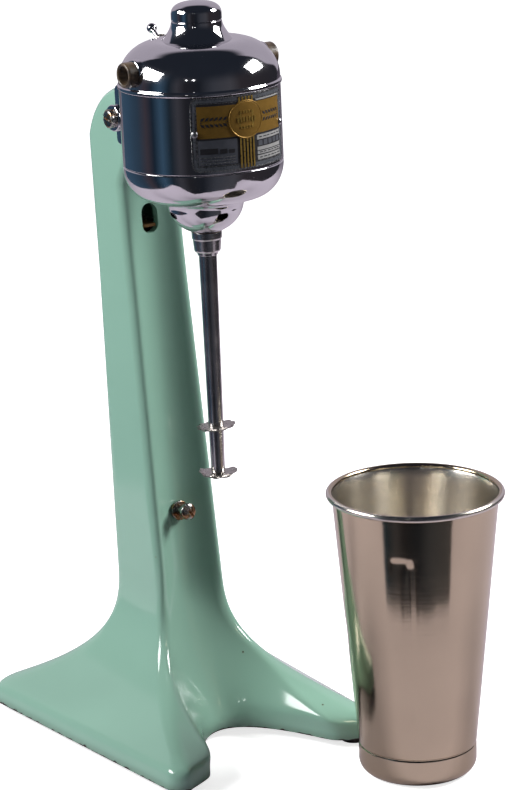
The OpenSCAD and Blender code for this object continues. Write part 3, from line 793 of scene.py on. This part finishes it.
def steps(low, high, count):
    """That many even steps from low, without high itself."""
    return [blend(low, high, k / count) for k in range(count)]


def stand_mesh():
    heights = steps(FOOT_H, LIP_TOP - 3, 8) + steps(LIP_TOP - 3, LIP_TOP + 8, 22)
    heights += steps(LIP_TOP + 8, SPREAD_TOP, 56) + steps(SPREAD_TOP, 336, 40)
    heights += steps(336, COLUMN_TOP - CROWN_H, 44)
    heights += [COLUMN_TOP - CROWN_H * (1 - sin(pi / 2 * k / 12)) for k in range(13)]
    insides = steps(FOOT_H, 110, 36) + steps(110, 366, 16) + [366]
    bm = bmesh.new()
    outer = [ring(bm, outer_section(z), z) for z in heights]
    inner = [ring(bm, inner_section(z), z) for z in insides]
    for low, high in zip(outer, outer[1:]):
        skin(bm, low, high)
    for low, high in zip(inner, inner[1:]):
        skin(bm, high, low)
    skin(bm, inner[0], outer[0])
    bm.faces.new(outer[-1])
    bm.faces.new(inner[-1][::-1])
    return bm


def make_stand():
    """The hollow casting, with the slot behind the spindle and the hole for the cord's grommet."""
    slot = prism(stadium(SLOT_W, SLOT_W + 7.2), 0, 42)
    slot.transform(moved(0, 44, SLOT_Z) @ turned(90, "X"))
    grommet_low, grommet_high = span("cord_grommet")
    cord_hole = prism(circle(4.0, 48), 0, 40)
    cord_hole.transform(moved(0, 70, (grommet_low.z + grommet_high.z) / 2) @ turned(-90, "X"))
    tools = [slot, cord_hole]
    piece("enamelled_stand", stand_mesh(), "jade_enamel", ["stand_casting"], cutters=tools, sharp=50)


FOOT_POINTS = ((-65, -94), (65, -94), (-70, 80), (70, 80))


def make_feet():
    outline = eased([(3.4, 2.6, 0), (3.4, 0, 0.4), (8, 0, 0), (9, 1, 1.0), (8.2, 5, 0.3), (2.2, 5, 0),
                     (2.2, 2.6, 0)])
    feet = []
    for x, y in FOOT_POINTS:
        foot = lathe(outline, 48, closed=True)
        foot.transform(moved(x, y, 0))
        feet.append(foot)
    piece("rubber_feet_moulded", joined(feet), "black_rubber", ["rubber_feet"])


def make_grommet():
    low, high = span("cord_grommet")
    neck = 3.95
    outline = eased([(2.6, -9, 0), (neck, -9, 0.4), (neck, 0.05, 0), (5.2, 0.05, 0.1), (5.2, 1.8, 0.9),
                     (2.6, 1.8, 0.5)])
    place = moved(0, low.y + 9, (low.z + high.z) / 2) @ turned(-90, "X")
    grommet = lathe(outline, 48, closed=True)
    piece("cord_grommet_moulded", grommet, "black_rubber", ["cord_grommet"], place)


def make_cup_rest():
    """The washer and the slotted stud that the cup leans on."""
    place = moved(0, column_trough(REST_Z), REST_Z) @ turned(90 - REST_LEAN, "X")
    washer = eased([(2.6, 1.4, 0), (6.2, 1.4, 0.5), (6.2, 3.6, 0.7), (2.6, 3.6, 0), (2.6, 1.4, 0)])
    piece("cup_rest_washer_turned", lathe(washer, 64), "worn_brass", ["cup_rest_washer"], place)
    stud = [(0, -9), (2.5, -9), (2.5, 3.4)]
    stud += eased([(2.5, 3.4, 0), (4, 3.6, 0.2), (4, 11, 0.3), (5.3, 11, 0.4), (5.3, 13.1, 0.5),
                   (4.6, 13.9, 0.9), (2.6, 14.6, 1.2), (0, 14.9, 0)])
    slot = block((14, 1.5, 3), (0, 0, 14.6))
    slot.transform(place @ turned(-52, "Z"))
    piece("cup_rest_stud", lathe(stud, 64), "worn_brass", ["cup_rest_screw"], place, cutters=[slot])


# ---- the motor head ----

MOTOR_R = 48.5
LIP_Z = 29
SEAM_Z = -20.8
SHOULDER_R = 23.5
SHOULDER_Z = 30
BELL_R = 15.2
CAP_TOP = 77
SKIN = 1.8
NOSE_R = 23.5
NOSE_H = 20.6
NOSE_Z = -63
NOSE_BORE = 9.0
BRUSH_Z = 38
VENTS = 4
BOLT_Y = 55
BOLT_Z = 2.7
FORK_HALF = 25


def arc(cx, cz, rx, rz, start, end, count):
    """Points along part of an ellipse, by angle in degrees."""
    angles = [radians(blend(start, end, k / count)) for k in range(count + 1)]
    return [(cx + rx * cos(a), cz + rz * sin(a)) for a in angles]


def cap_outline():
    """From the rolled lip over the shoulder and up the bell to the axis."""
    crown_z = SHOULDER_Z + SHOULDER_R
    flare, rise = 6.0, 11.0
    lip = eased([(MOTOR_R - SKIN, LIP_Z - 2, 0), (MOTOR_R, LIP_Z - 3, 0.2),
                 (MOTOR_R + 0.85, LIP_Z - 2.4, 0.6), (MOTOR_R + 0.9, LIP_Z - 0.7, 0.7),
                 (MOTOR_R, LIP_Z + 0.3, 0.5), (MOTOR_R, SHOULDER_Z, 0)])
    shoulder = arc(MOTOR_R - SHOULDER_R, SHOULDER_Z, SHOULDER_R, SHOULDER_R, 0, 90, 30)[1:]
    skirt = [(BELL_R + flare * (1 - k / 12) ** 1.6, crown_z + rise * k / 12) for k in range(13)]
    top = eased([(BELL_R, crown_z + rise, 0), (BELL_R - 0.5, crown_z + rise + 0.4, 0.3),
                 (BELL_R, crown_z + rise + 0.9, 0.3), (BELL_R, CAP_TOP - 5, 6.5), (10.5, CAP_TOP - 1.3, 7),
                 (0, CAP_TOP, 0)], 8)
    return lip + shoulder + skirt + top[1:]


def lower_outline():
    """From the seam round the belly and the waist to the nose where the spindle comes out."""
    a, b = 18, 21
    belly = arc(MOTOR_R - a, SEAM_Z - 0.3, a, -b, 0, 80, 24)
    waist = [(27, -42.6, 2.5), (24.2, -44.6, 1.6)]
    end = arc(0, -44, NOSE_R, -NOSE_H, 9, 66.6, 24)
    body = eased([(*belly[-1], 0), *waist, (*end[0], 0)], 5)
    groove = [(MOTOR_R - 0.5, SEAM_Z + 0.25), (MOTOR_R - 0.35, SEAM_Z), (MOTOR_R, SEAM_Z - 0.3)]
    return groove + belly[1:-1] + body[:-1] + end + [(NOSE_BORE, NOSE_Z), (NOSE_BORE, NOSE_Z + 9)]


def make_head():
    """The three chromed shells: dome, middle and nose."""
    piece("dome_shell", lathe(cap_outline(), 192), "bright_chrome", ["upper_cap"], HEAD)
    wall = eased([(MOTOR_R - 2, SEAM_Z + 0.4, 0), (MOTOR_R - 0.5, SEAM_Z + 0.4, 0),
                  (MOTOR_R, SEAM_Z + 0.9, 0.4), (MOTOR_R, LIP_Z - 3.1, 0), (MOTOR_R - 2, LIP_Z - 3.1, 0)])
    piece("middle_shell", lathe(wall, 192), "bright_chrome", ["motor_body"], HEAD)
    shell = lower_outline()
    inside = [(max(NOSE_BORE, r - SKIN * 0.8), z + SKIN * 0.8) for r, z in shell[3:-2]][::-1]
    vents = []
    for k in range(VENTS):
        tool = prism(stadium(4.0, 7.6), 0, 20)
        tool.transform(turned(90, "Z"))
        tool.transform(HEAD @ turned(-5 + 360 * k / VENTS, "Z") @ moved(0, -13, -51) @ turned(90, "X"))
        vents.append(tool)
    piece("nose_shell", lathe(shell + inside, 192, closed=True), "bright_chrome", ["lower_casing"],
          HEAD, cutters=vents, sharp=45)


def on_casing(along, up, radius):
    """The place of a flat (along, up) point bent round the motor's axis, along the casing's surface."""
    angle = along / MOTOR_R
    return (radius * sin(angle), -radius * cos(angle), up)


def panel(outline_at, columns, radius, thickness):
    """A thin curved plate. outline_at gives (lowest, highest) for a place along it."""
    bm = bmesh.new()
    grid = {}
    for side, r in enumerate((radius, radius + thickness)):
        for c, s in enumerate(columns):
            for q, z in enumerate(outline_at(s)):
                grid[side, c, q] = bm.verts.new(on_casing(s, z, r))
    last = len(columns) - 1
    for c in range(last):
        n = c + 1
        faces = (((1, c, 0), (1, n, 0), (1, n, 1), (1, c, 1)), ((0, c, 0), (0, c, 1), (0, n, 1), (0, n, 0)),
                 ((0, c, 0), (0, n, 0), (1, n, 0), (1, c, 0)), ((1, c, 1), (1, n, 1), (0, n, 1), (0, c, 1)))
        for corners in faces:
            bm.faces.new([grid[corner] for corner in corners])
    for c in (0, last):
        bm.faces.new([grid[0, c, 0], grid[1, c, 0], grid[1, c, 1], grid[0, c, 1]])
    return bm


def rounded_span(half, low, high, corner):
    """The outline of a rectangle with rounded corners, for panel()."""
    def outline_at(s):
        over = max(0.0, abs(s) - (half - corner))
        inset = corner - sqrt(max(0.0, corner * corner - over * over))
        return low + inset, high - inset
    return outline_at


def columns_for(left, right, corner=0.0, count=40):
    """Places along a panel, closer together in its rounded corners."""
    middle = [blend(left + corner, right - corner, k / count) for k in range(count + 1)]
    if not corner:
        return middle
    ends = [corner * (1 - cos(pi / 2 * k / 7)) for k in range(7)]
    return [left + e for e in ends] + middle + [right - e for e in reversed(ends)]


def make_nameplate():
    """A plate in several colours, with no lettering.

    It has a beaded border, a gold band, a round boss with bars, stripes and ruled panels.
    """
    low, high, half, corner, back_thick, boss_z = -18.2, 25.8, 34.0, 4.5, 0.55, 11.3
    over = MOTOR_R + 0.05
    silver = MATERIALS["plate_metal"]
    gold = plate_finish("plate_gold", (0.34, 0.19, 0.035), 0.55, 0.36)
    pale_gold = plate_finish("plate_pale_gold", (0.52, 0.34, 0.08), 0.7, 0.30)
    black = plate_finish("plate_black", (0.030, 0.030, 0.034), 0.2, 0.4)
    grey = plate_finish("plate_grey", (0.15, 0.16, 0.185), 0.5, 0.35)
    pale = plate_finish("plate_pale", (0.46, 0.46, 0.45), 0.3, 0.4)

    def add_part(name, bm, material, replaced=()):
        piece("plate_" + name, bm, "plate_metal", replaced, HEAD, material=material)

    def box_panel(name, left, right, bottom, top, lift, material, thickness=0.12):
        columns = columns_for(left, right, 0, 14)
        add_part(name, panel(lambda s: (bottom, top), columns, over + lift, thickness), material)

    back = panel(rounded_span(half, low, high, corner), columns_for(-half, half, corner), over, back_thick)
    add_part("back", back, black, ["nameplate"])
    lift = back_thick

    def add_border(name, outer, inner, thickness, material):
        outer_at = rounded_span(half - outer, low + outer, high - outer, corner - outer)
        inner_at = rounded_span(half - inner, low + inner, high - inner, corner - inner)
        wide = columns_for(outer - half, half - outer, corner - outer, 60)
        middle = (low + high) / 2
        top_half = panel(lambda s: (inner_at(s)[1] if abs(s) < half - inner else middle, outer_at(s)[1]),
                         wide, over + lift, thickness)
        low_half = panel(lambda s: (outer_at(s)[0], inner_at(s)[0] if abs(s) < half - inner else middle),
                         wide, over + lift, thickness)
        border = joined([top_half, low_half])
        bmesh.ops.remove_doubles(border, verts=border.verts, dist=0.001)
        add_part(name, border, material)

    add_border("bead", 0, 0.75, 0.35, silver)
    blue_grey = plate_finish("plate_blue_grey", (0.20, 0.215, 0.24), 0.6, 0.3)
    add_border("border", 0.75, 2.9, 0.12, blue_grey)
    add_border("inner_line", 3.3, 3.6, 0.12, silver)
    box_panel("gold_band", -30.2, 30.2, 1.8, 20.8, lift, gold)
    box_panel("panel_left", -30.2, -6.6, -14.2, 0.6, lift, grey)
    for row in range(3):
        box_panel(f"rule_{row}", -29, -8, -13.4 + 1.7 * row, -12.8 + 1.7 * row, lift + 0.12, silver)
    for row, (left, right) in enumerate(((-29, -18.5), (-17.4, -13), (-12, -8.4))):
        box_panel(f"block_{row}", left, right, -7.6, -4.2 - 0.6 * row, lift + 0.12, black)
    pale_rows = ((-14.2, -11.6), (-10.9, -9.2), (-8.6, -6.6), (-2.2, 0.6), (21.4, 22.5))
    for row, (bottom, top) in enumerate(pale_rows):
        box_panel(f"pale_{row}", 7.4, 30.2, bottom, top, lift, pale)
    for row, bottom in enumerate((-13.2, -10.2, -1.1)):
        for column in range(6):
            start = 9.0 + 3.5 * column
            end = start + 2.2 + 0.6 * ((column + row) % 2)
            name = f"dash_{row}_{column}"
            box_panel(name, start, end, bottom, bottom + 0.6, lift + 0.12, black, 0.06)
    for column in range(5):
        start = 8.2 + 4.4 * column
        box_panel(f"bar_{column}", start, start + 3.4, -5.9, -2.9, lift, grey)
    for k in range(5):
        middle = -4.4 + 2.2 * k
        box_panel(f"stripe_{k}", middle - 0.55, middle + 0.55, low + 0.9, high - 0.9, lift + 0.36, pale_gold)
    boss_r = 11.6
    boss = lathe(eased([(0, 0.62, 0), (boss_r - 1.1, 0.62, 0.2), (boss_r - 0.9, 0.5, 0.1),
                        (boss_r - 0.7, 0.8, 0.2), (boss_r - 0.2, 0.8, 0.2), (boss_r, 0.2, 0.1)], 3), 64)
    wrap(boss, over + lift, boss_z)
    add_part("boss", boss, gold)
    bars = []
    for row, (count, tall) in enumerate(((5, 1.5), (7, 3.0), (5, 1.5))):
        for k in range(count):
            bars.append(block((1.1, tall, 0.3), (1.9 * (k - (count - 1) / 2), 4.6 * (1 - row), 0.7)))
    bars = joined(bars)
    wrap(bars, over + lift, boss_z)
    add_part("boss_bars", bars, pale_gold)
    for name, side in (("left", -1), ("right", 1)):
        leaves = [block((17, 0.45, 0.16), (side * 20, boss_z, 0.08))]
        for k in range(6):
            for up in (-1, 1):
                leaf = prism([(-1.7, 0), (0, 0.8), (1.7, 0), (0, -0.8)], 0.0, 0.16)
                place = moved(side * (13.6 + 2.7 * k), boss_z + up * 1.9, 0)
                leaf.transform(place @ turned(-up * side * 42, "Z"))
                leaves.append(leaf)
        leaves = joined(leaves)
        wrap(leaves, over + lift + 0.1, 0)
        add_part("marks_" + name, leaves, black)
    pins = []
    for side in (-1, 1):
        pin = lathe([(2.1, 0), (1.9, 0.5), (1.35, 0.95), (0.7, 1.15), (0, 1.2)], 24)
        pin.transform(turned(side * 37.6, "Z") @ moved(0, -over - 0.9, 4.6) @ turned(90, "X"))
        pins.append(pin)
    piece("plate_pins", joined(pins), "plain_steel", ["nameplate_pins"], HEAD)


def wrap(bm, radius, up):
    """Bends a flat bmesh, drawn with x along, y up and z outwards, round the casing."""
    for vert in bm.verts:
        along, z, out = vert.co
        vert.co = on_casing(along, z + up, radius + out)


def make_brush_caps():
    """Hollow bakelite caps in chromed rings, left and right."""
    band = eased([(7.1, 41.2, 0), (8.6, 41.2, 0), (8.6, 46.1, 0.6), (8.0, 46.6, 0.4), (7.1, 46.6, 0)])
    cap = eased([(5.2, 44.8, 0), (5.2, 52.0, 0.9), (5.8, 53.3, 0.6), (7.1, 53.3, 0.7), (7.7, 52.4, 0.7),
                 (7.7, 46.7, 0), (7.0, 46.7, 0), (7.0, 41.4, 0), (0, 41.4, 0)])
    well = [(0, 44.8)] + cap
    rings, caps = [], []
    for side in (0, 180):
        place = turned(side, "Z") @ moved(0, 0, BRUSH_Z) @ turned(90, "Y")
        for group, outline in ((rings, band + [band[0]]), (caps, well)):
            part = lathe(outline, 64)
            part.transform(place)
            group.append(part)
    piece("brush_rings_turned", joined(rings), "bright_chrome", ["brush_cap_rings"], HEAD)
    piece("brush_caps_moulded", joined(caps), "brown_bakelite", ["brush_caps"], HEAD)


def make_toggle():
    """The switch on the back of the head: a ribbed bushing, its nut, and the stick."""
    pivot = Vector(JOINTS["toggle_flip"]["pos_m"]) / MM
    tilt = HEAD.to_3x3().to_4x4()
    base = Matrix.Translation(pivot) @ tilt @ turned(-43, "X")
    ribs = [(3.0, -3.6), (4.2, -3.6)]
    for k in range(5):
        z = 0.2 + 0.68 * k
        ribs += [(4.2, z), (4.2, z + 0.34), (3.85, z + 0.44), (3.85, z + 0.6)]
    ribs += [(3.9, 3.6), (3.0, 3.6), (3.0, -3.6)]
    piece("toggle_bushing_turned", lathe(ribs, 48), "worn_nickel", ["toggle_bushing"], base)
    nut = prism(circle(6, 6), 0.05, 1.95)
    piece("toggle_nut_bevelled", nut, "worn_nickel", ["toggle_nut"], base, bevel=0.35)
    stick = [(0, -2.2)] + arc(0, 0, 2.2, 2.2, -90, 50, 10)[1:] + [(1.3, 3.0), (1.35, 8.5)]
    stick += arc(0, 12.6, 3.1, 3.1, -62, 90, 18)
    stick[-1] = (0, 15.7)
    piece("toggle_stick", lathe(stick, 48), "bright_chrome", ["toggle_lever"], base @ turned(-9, "X"),
          "toggle")


def make_fork():
    """The chromed fork: a back plate on the casing and two rounded ears."""
    inner = COLUMN_HALF + 0.3
    ear = [(-23.0, 45.0), (14.0, 45.0)] + arc(10, 54, 4, 4, 0, 90, 6) + arc(-19, 54, 4, 4, 90, 180, 6)
    for name, side in (("left", -1), ("right", 1)):
        low, high = sorted((side * inner, side * FORK_HALF))
        cheek = prism(ear, low, high)
        cheek.transform(turned(90, "Y"))
        piece("fork_ear_" + name, cheek, "bright_chrome", place=HEAD, bevel=0.9)
    back = block((2 * FORK_HALF, 4.6, 37), (0, 47.9, 4.5))
    piece("fork_back", back, "bright_chrome", ["mounting_fork"], HEAD, bevel=0.8)


def make_bolt():
    """The cross bolt that the head hangs on: boss, slotted head and nut."""
    place = HEAD @ moved(-FORK_HALF - 4.2, BOLT_Y, BOLT_Z) @ turned(90, "Y")
    collar = eased([(3.05, 0, 0), (7.6, 0, 0.7), (8.3, 0.8, 0.5), (8.3, 4.2, 0), (3.05, 4.2, 0)])
    piece("bolt_boss", lathe(collar, 64), "bright_chrome", ["bolt_collar"], place)
    head = [(0, 60.5), (3, 60.5), (3, 0)]
    head += eased([(3, 0, 0), (5.8, 0, 0.2), (5.8, -3.0, 1.3), (3.9, -3.8, 1.0), (0, -3.9, 0)])
    slot = block((1.4, 14, 3), (0, 0, -4.0))
    slot.transform(place @ turned(12, "Z"))
    piece("cross_bolt_slotted", lathe(head, 48), "worn_brass", ["cross_bolt"], place, cutters=[slot])
    nut_place = HEAD @ moved(FORK_HALF, BOLT_Y, BOLT_Z) @ turned(90, "Y")
    piece("cross_nut_bevelled", prism(circle(6.2, 6), 0, 5), "plain_steel", ["cross_nut"], nut_place,
          bevel=0.5)


# ---- spindle ----

COLLAR_TOP = NOSE_Z - 0.4
SPINDLE_Z = COLLAR_TOP - 14.6
DISC_TOP_Z = SPINDLE_Z - 108
DISC_LOW_Z = SPINDLE_Z - 138
SPINDLE_TOP_R = 5.5
SPINDLE_TIP_R = 4.3
STEM_R = 2.7
DISC_R = 12
DISC_THICK = 1.3


def make_spindle():
    """The stepped collar, the tapered rod and the riveted end that holds the lower disc."""
    top = COLLAR_TOP
    collar = eased([(4.1, top, 0), (9.3, top, 0.3), (9.2, top - 4, 0.3), (8.7, top - 4.6, 0.3),
                    (8.1, top - 11.6, 0.5), (7.4, top - 12.6, 0.4), (6.4, top - 12.7, 0.2),
                    (6.2, top - 14.6, 0.3), (5.5, top - 14.6, 0)])
    piece("spindle_collar_turned", lathe(collar, 96), "spindle_steel", ["spindle_collar"], HEAD, "rotor")
    rod = [(0, SPINDLE_Z + 6), (SPINDLE_TOP_R, SPINDLE_Z + 6), (SPINDLE_TOP_R, SPINDLE_Z)]
    rod += [(SPINDLE_TIP_R + 0.35, DISC_TOP_Z), (SPINDLE_TIP_R, DISC_LOW_Z + 1.4), (STEM_R, DISC_LOW_Z + 1.3),
            (STEM_R, DISC_LOW_Z - 1.2), (0, DISC_LOW_Z - 1.2)]
    piece("spindle_rod", lathe(rod, 96), "spindle_steel", ["spindle"], HEAD, "rotor")
    rivet = eased([(0, -2.6, 0), (2.4, -2.6, 0.5), (4.0, -1.3, 0.6), (STEM_R, -1.2, 0)])
    piece("spindle_rivet_end", lathe(rivet, 48), "worn_nickel", ["spindle_rivet"],
          HEAD @ moved(0, 0, DISC_LOW_Z), "rotor")


def wavy_disc(bore, lobes, wave, dish, notches, notch_depth, crimps, tilt):
    """A pressed disc: dished, with a rim that rises and falls in lobes and is crimped in at its notches.

    Angles run from the side of the camera.
    """
    turns, rings = 144, 9
    bm = bmesh.new()

    def spot(k, level, side):
        a = TURN * k / turns
        near = a - CAMERA_AZIMUTH + pi / 2
        crimp = notch_depth * (0.5 + 0.5 * cos(notches * near)) ** 6
        share = level / rings
        radius = blend(bore, DISC_R * (1 - crimp - 0.02 * (1 - cos(crimps * near))), share)
        lift = dish * share ** 2 - wave * share ** 1.6 * cos(lobes * near) + tilt * share * sin(near)
        lift += 0.35 * share ** 4 * sin(crimps * near)
        edge = DISC_THICK / 2 * sqrt(max(0.12, 1 - share ** 10))
        return (radius * cos(a), radius * sin(a), lift + side * edge)

    below, above = [[[bm.verts.new(spot(k, level, side)) for k in range(turns)] for level in range(rings + 1)]
                    for side in (-1, 1)]
    for near, far in zip(below, below[1:]):
        skin(bm, near, far)
    for near, far in zip(above, above[1:]):
        skin(bm, far, near)
    for level in (0, rings):
        skin(bm, below[level], above[level])
    return bm


def make_discs():
    upper = wavy_disc(SPINDLE_TIP_R + 0.3, lobes=2, wave=0.3, dish=0.5, notches=1, notch_depth=0.0, crimps=11,
                      tilt=0.8)
    piece("upper_disc_pressed", upper, "worn_nickel", ["upper_disc"], HEAD @ moved(0, 0, DISC_TOP_Z), "rotor")
    lower = wavy_disc(STEM_R, lobes=2, wave=1.3, dish=1.0, notches=2, notch_depth=0.16, crimps=9, tilt=0.0)
    piece("lower_disc_pressed", lower, "worn_nickel", ["lower_disc"], HEAD @ moved(0, 0, DISC_LOW_Z), "rotor")


# ---- mixing cup ----

def make_cup():
    """One turned shell with a rolled rim, a band above the foot and a few dents."""
    low, high = span("mixing_cup")
    centre = (low + high) / 2
    tall = high.z
    rim_r = (high.x - low.x) / 2
    bead, band_z, band_r, foot_r, neck_r, wall = 2.0, 18.6, 36.2, 8.0, 50.3, 1.0
    outside = [(0, 0.9), (12, 0.9), (24, 0.9)]
    outside += eased([(24, 0.9, 0), (27, 0, 1.2), (29.5, 0, 0)], 4)
    outside += arc(band_r - foot_r, foot_r, foot_r, foot_r, -80, -4, 14)
    outside += eased([(band_r, band_z - 2, 0), (band_r - 0.1, band_z - 0.9, 0.3), (band_r - 0.6, band_z, 0.4),
                      (band_r + 0.1, band_z + 0.9, 0.3), (band_r + 0.3, band_z + 3, 0)], 3)
    count = 44
    outside += [(blend(band_r + 0.3, neck_r, k / count), blend(band_z + 3, tall - 5, k / count))
                for k in range(1, count + 1)]
    roll = arc(rim_r - bead, tall - bead, bead, bead, 214, -168, 26)
    inside = [(blend(neck_r - wall, band_r - wall, k / 30), blend(tall - 4, band_z, k / 30))
              for k in range(31)]
    inside += arc(band_r - foot_r, foot_r + 1.0, foot_r - wall, foot_r - wall, -4, -90, 12)
    inside += [(14, 2.0), (0, 2.0)]
    shell = lathe(outside + roll + inside, 360)
    for vert in shell.verts:
        dent(vert, tall)
    place = moved(centre.x, centre.y, 0)
    cup = piece("mixing_cup_spun", shell, "cup_steel", ["mixing_cup"], place, "cup", sharp=50)
    cup.data.materials.append(cup_inside())
    axis = Vector((centre.x, centre.y, 0)) * MM
    for face in cup.data.polygons:
        out = face.center - axis
        out.z = 0
        faces_axis = face.normal.dot(out) < -0.2 * out.length
        cup_floor = face.normal.z > 0.5 and face.center.z < 0.02
        if faces_axis or cup_floor:
            face.material_index = 1


# Each dent: azimuth in degrees, height, half width, half height, depth.
DENTS = ((-95, 70, 4.0, 1.8, 0.5), (-100, 42, 9, 7, 0.2), (40, 120, 16, 12, 0.2), (150, 90, 14, 10, 0.3))
# The crease runs up the wall at its azimuth and bends aside at its top: half width, bottom, top, depth.
CREASE_AT = -131
CREASE = (2.8, 44.0, 150.0, 0.95)
FLOOR_R = 20
RIM_ZONE = 8


def degrees_past(angle, start):
    """From start to angle, between -180 and 180."""
    return (angle - start + 180) % 360 - 180


def press_in(vert, push, radius):
    vert.co.x *= 1 - push / radius
    vert.co.y *= 1 - push / radius


def dent(vert, tall):
    """Pushes the cup's wall in a little at the dents and the crease."""
    radius = hypot(vert.co.x, vert.co.y)
    if radius < FLOOR_R or vert.co.z > tall - RIM_ZONE:
        return
    angle = degrees(atan2(vert.co.y, vert.co.x))
    for azimuth, height, wide, high, depth in DENTS:
        along = radians(degrees_past(angle, azimuth)) * radius / wide
        up = (vert.co.z - height) / high
        press_in(vert, depth * exp(-(along * along + up * up)), radius)
    wide, low, high, depth = CREASE
    along = radians(degrees_past(angle, CREASE_AT)) * radius
    upright = exp(-(along / wide) ** 2) * ease((vert.co.z - low) / 6) * ease((high - vert.co.z) / 3)
    across = exp(-((vert.co.z - high + 3) / wide) ** 2) * ease(-along / 3) * ease((along + 13) / 3)
    press_in(vert, depth * max(upright, across), radius)


def finish_cad_nodes():
    """Gives every CAD node that still shows its slot's material."""
    slots = {part["node"]: part["material_slot"] for part in frame["record"]["subparts"]}
    for name, node in frame["nodes"].items():
        if not node.hide_render:
            node.data.materials.clear()
            node.data.materials.append(MATERIALS[slots[name]])


scene.view_settings.view_transform = "Standard"
make_camera()
make_world()
make_lights()
make_floor()
MATERIALS = make_materials()
HEAD = head_place()
make_stand()
make_feet()
make_grommet()
make_cup_rest()
make_head()
make_nameplate()
make_brush_caps()
make_toggle()
make_fork()
make_bolt()
make_spindle()
make_discs()
make_cup()
finish_cad_nodes()
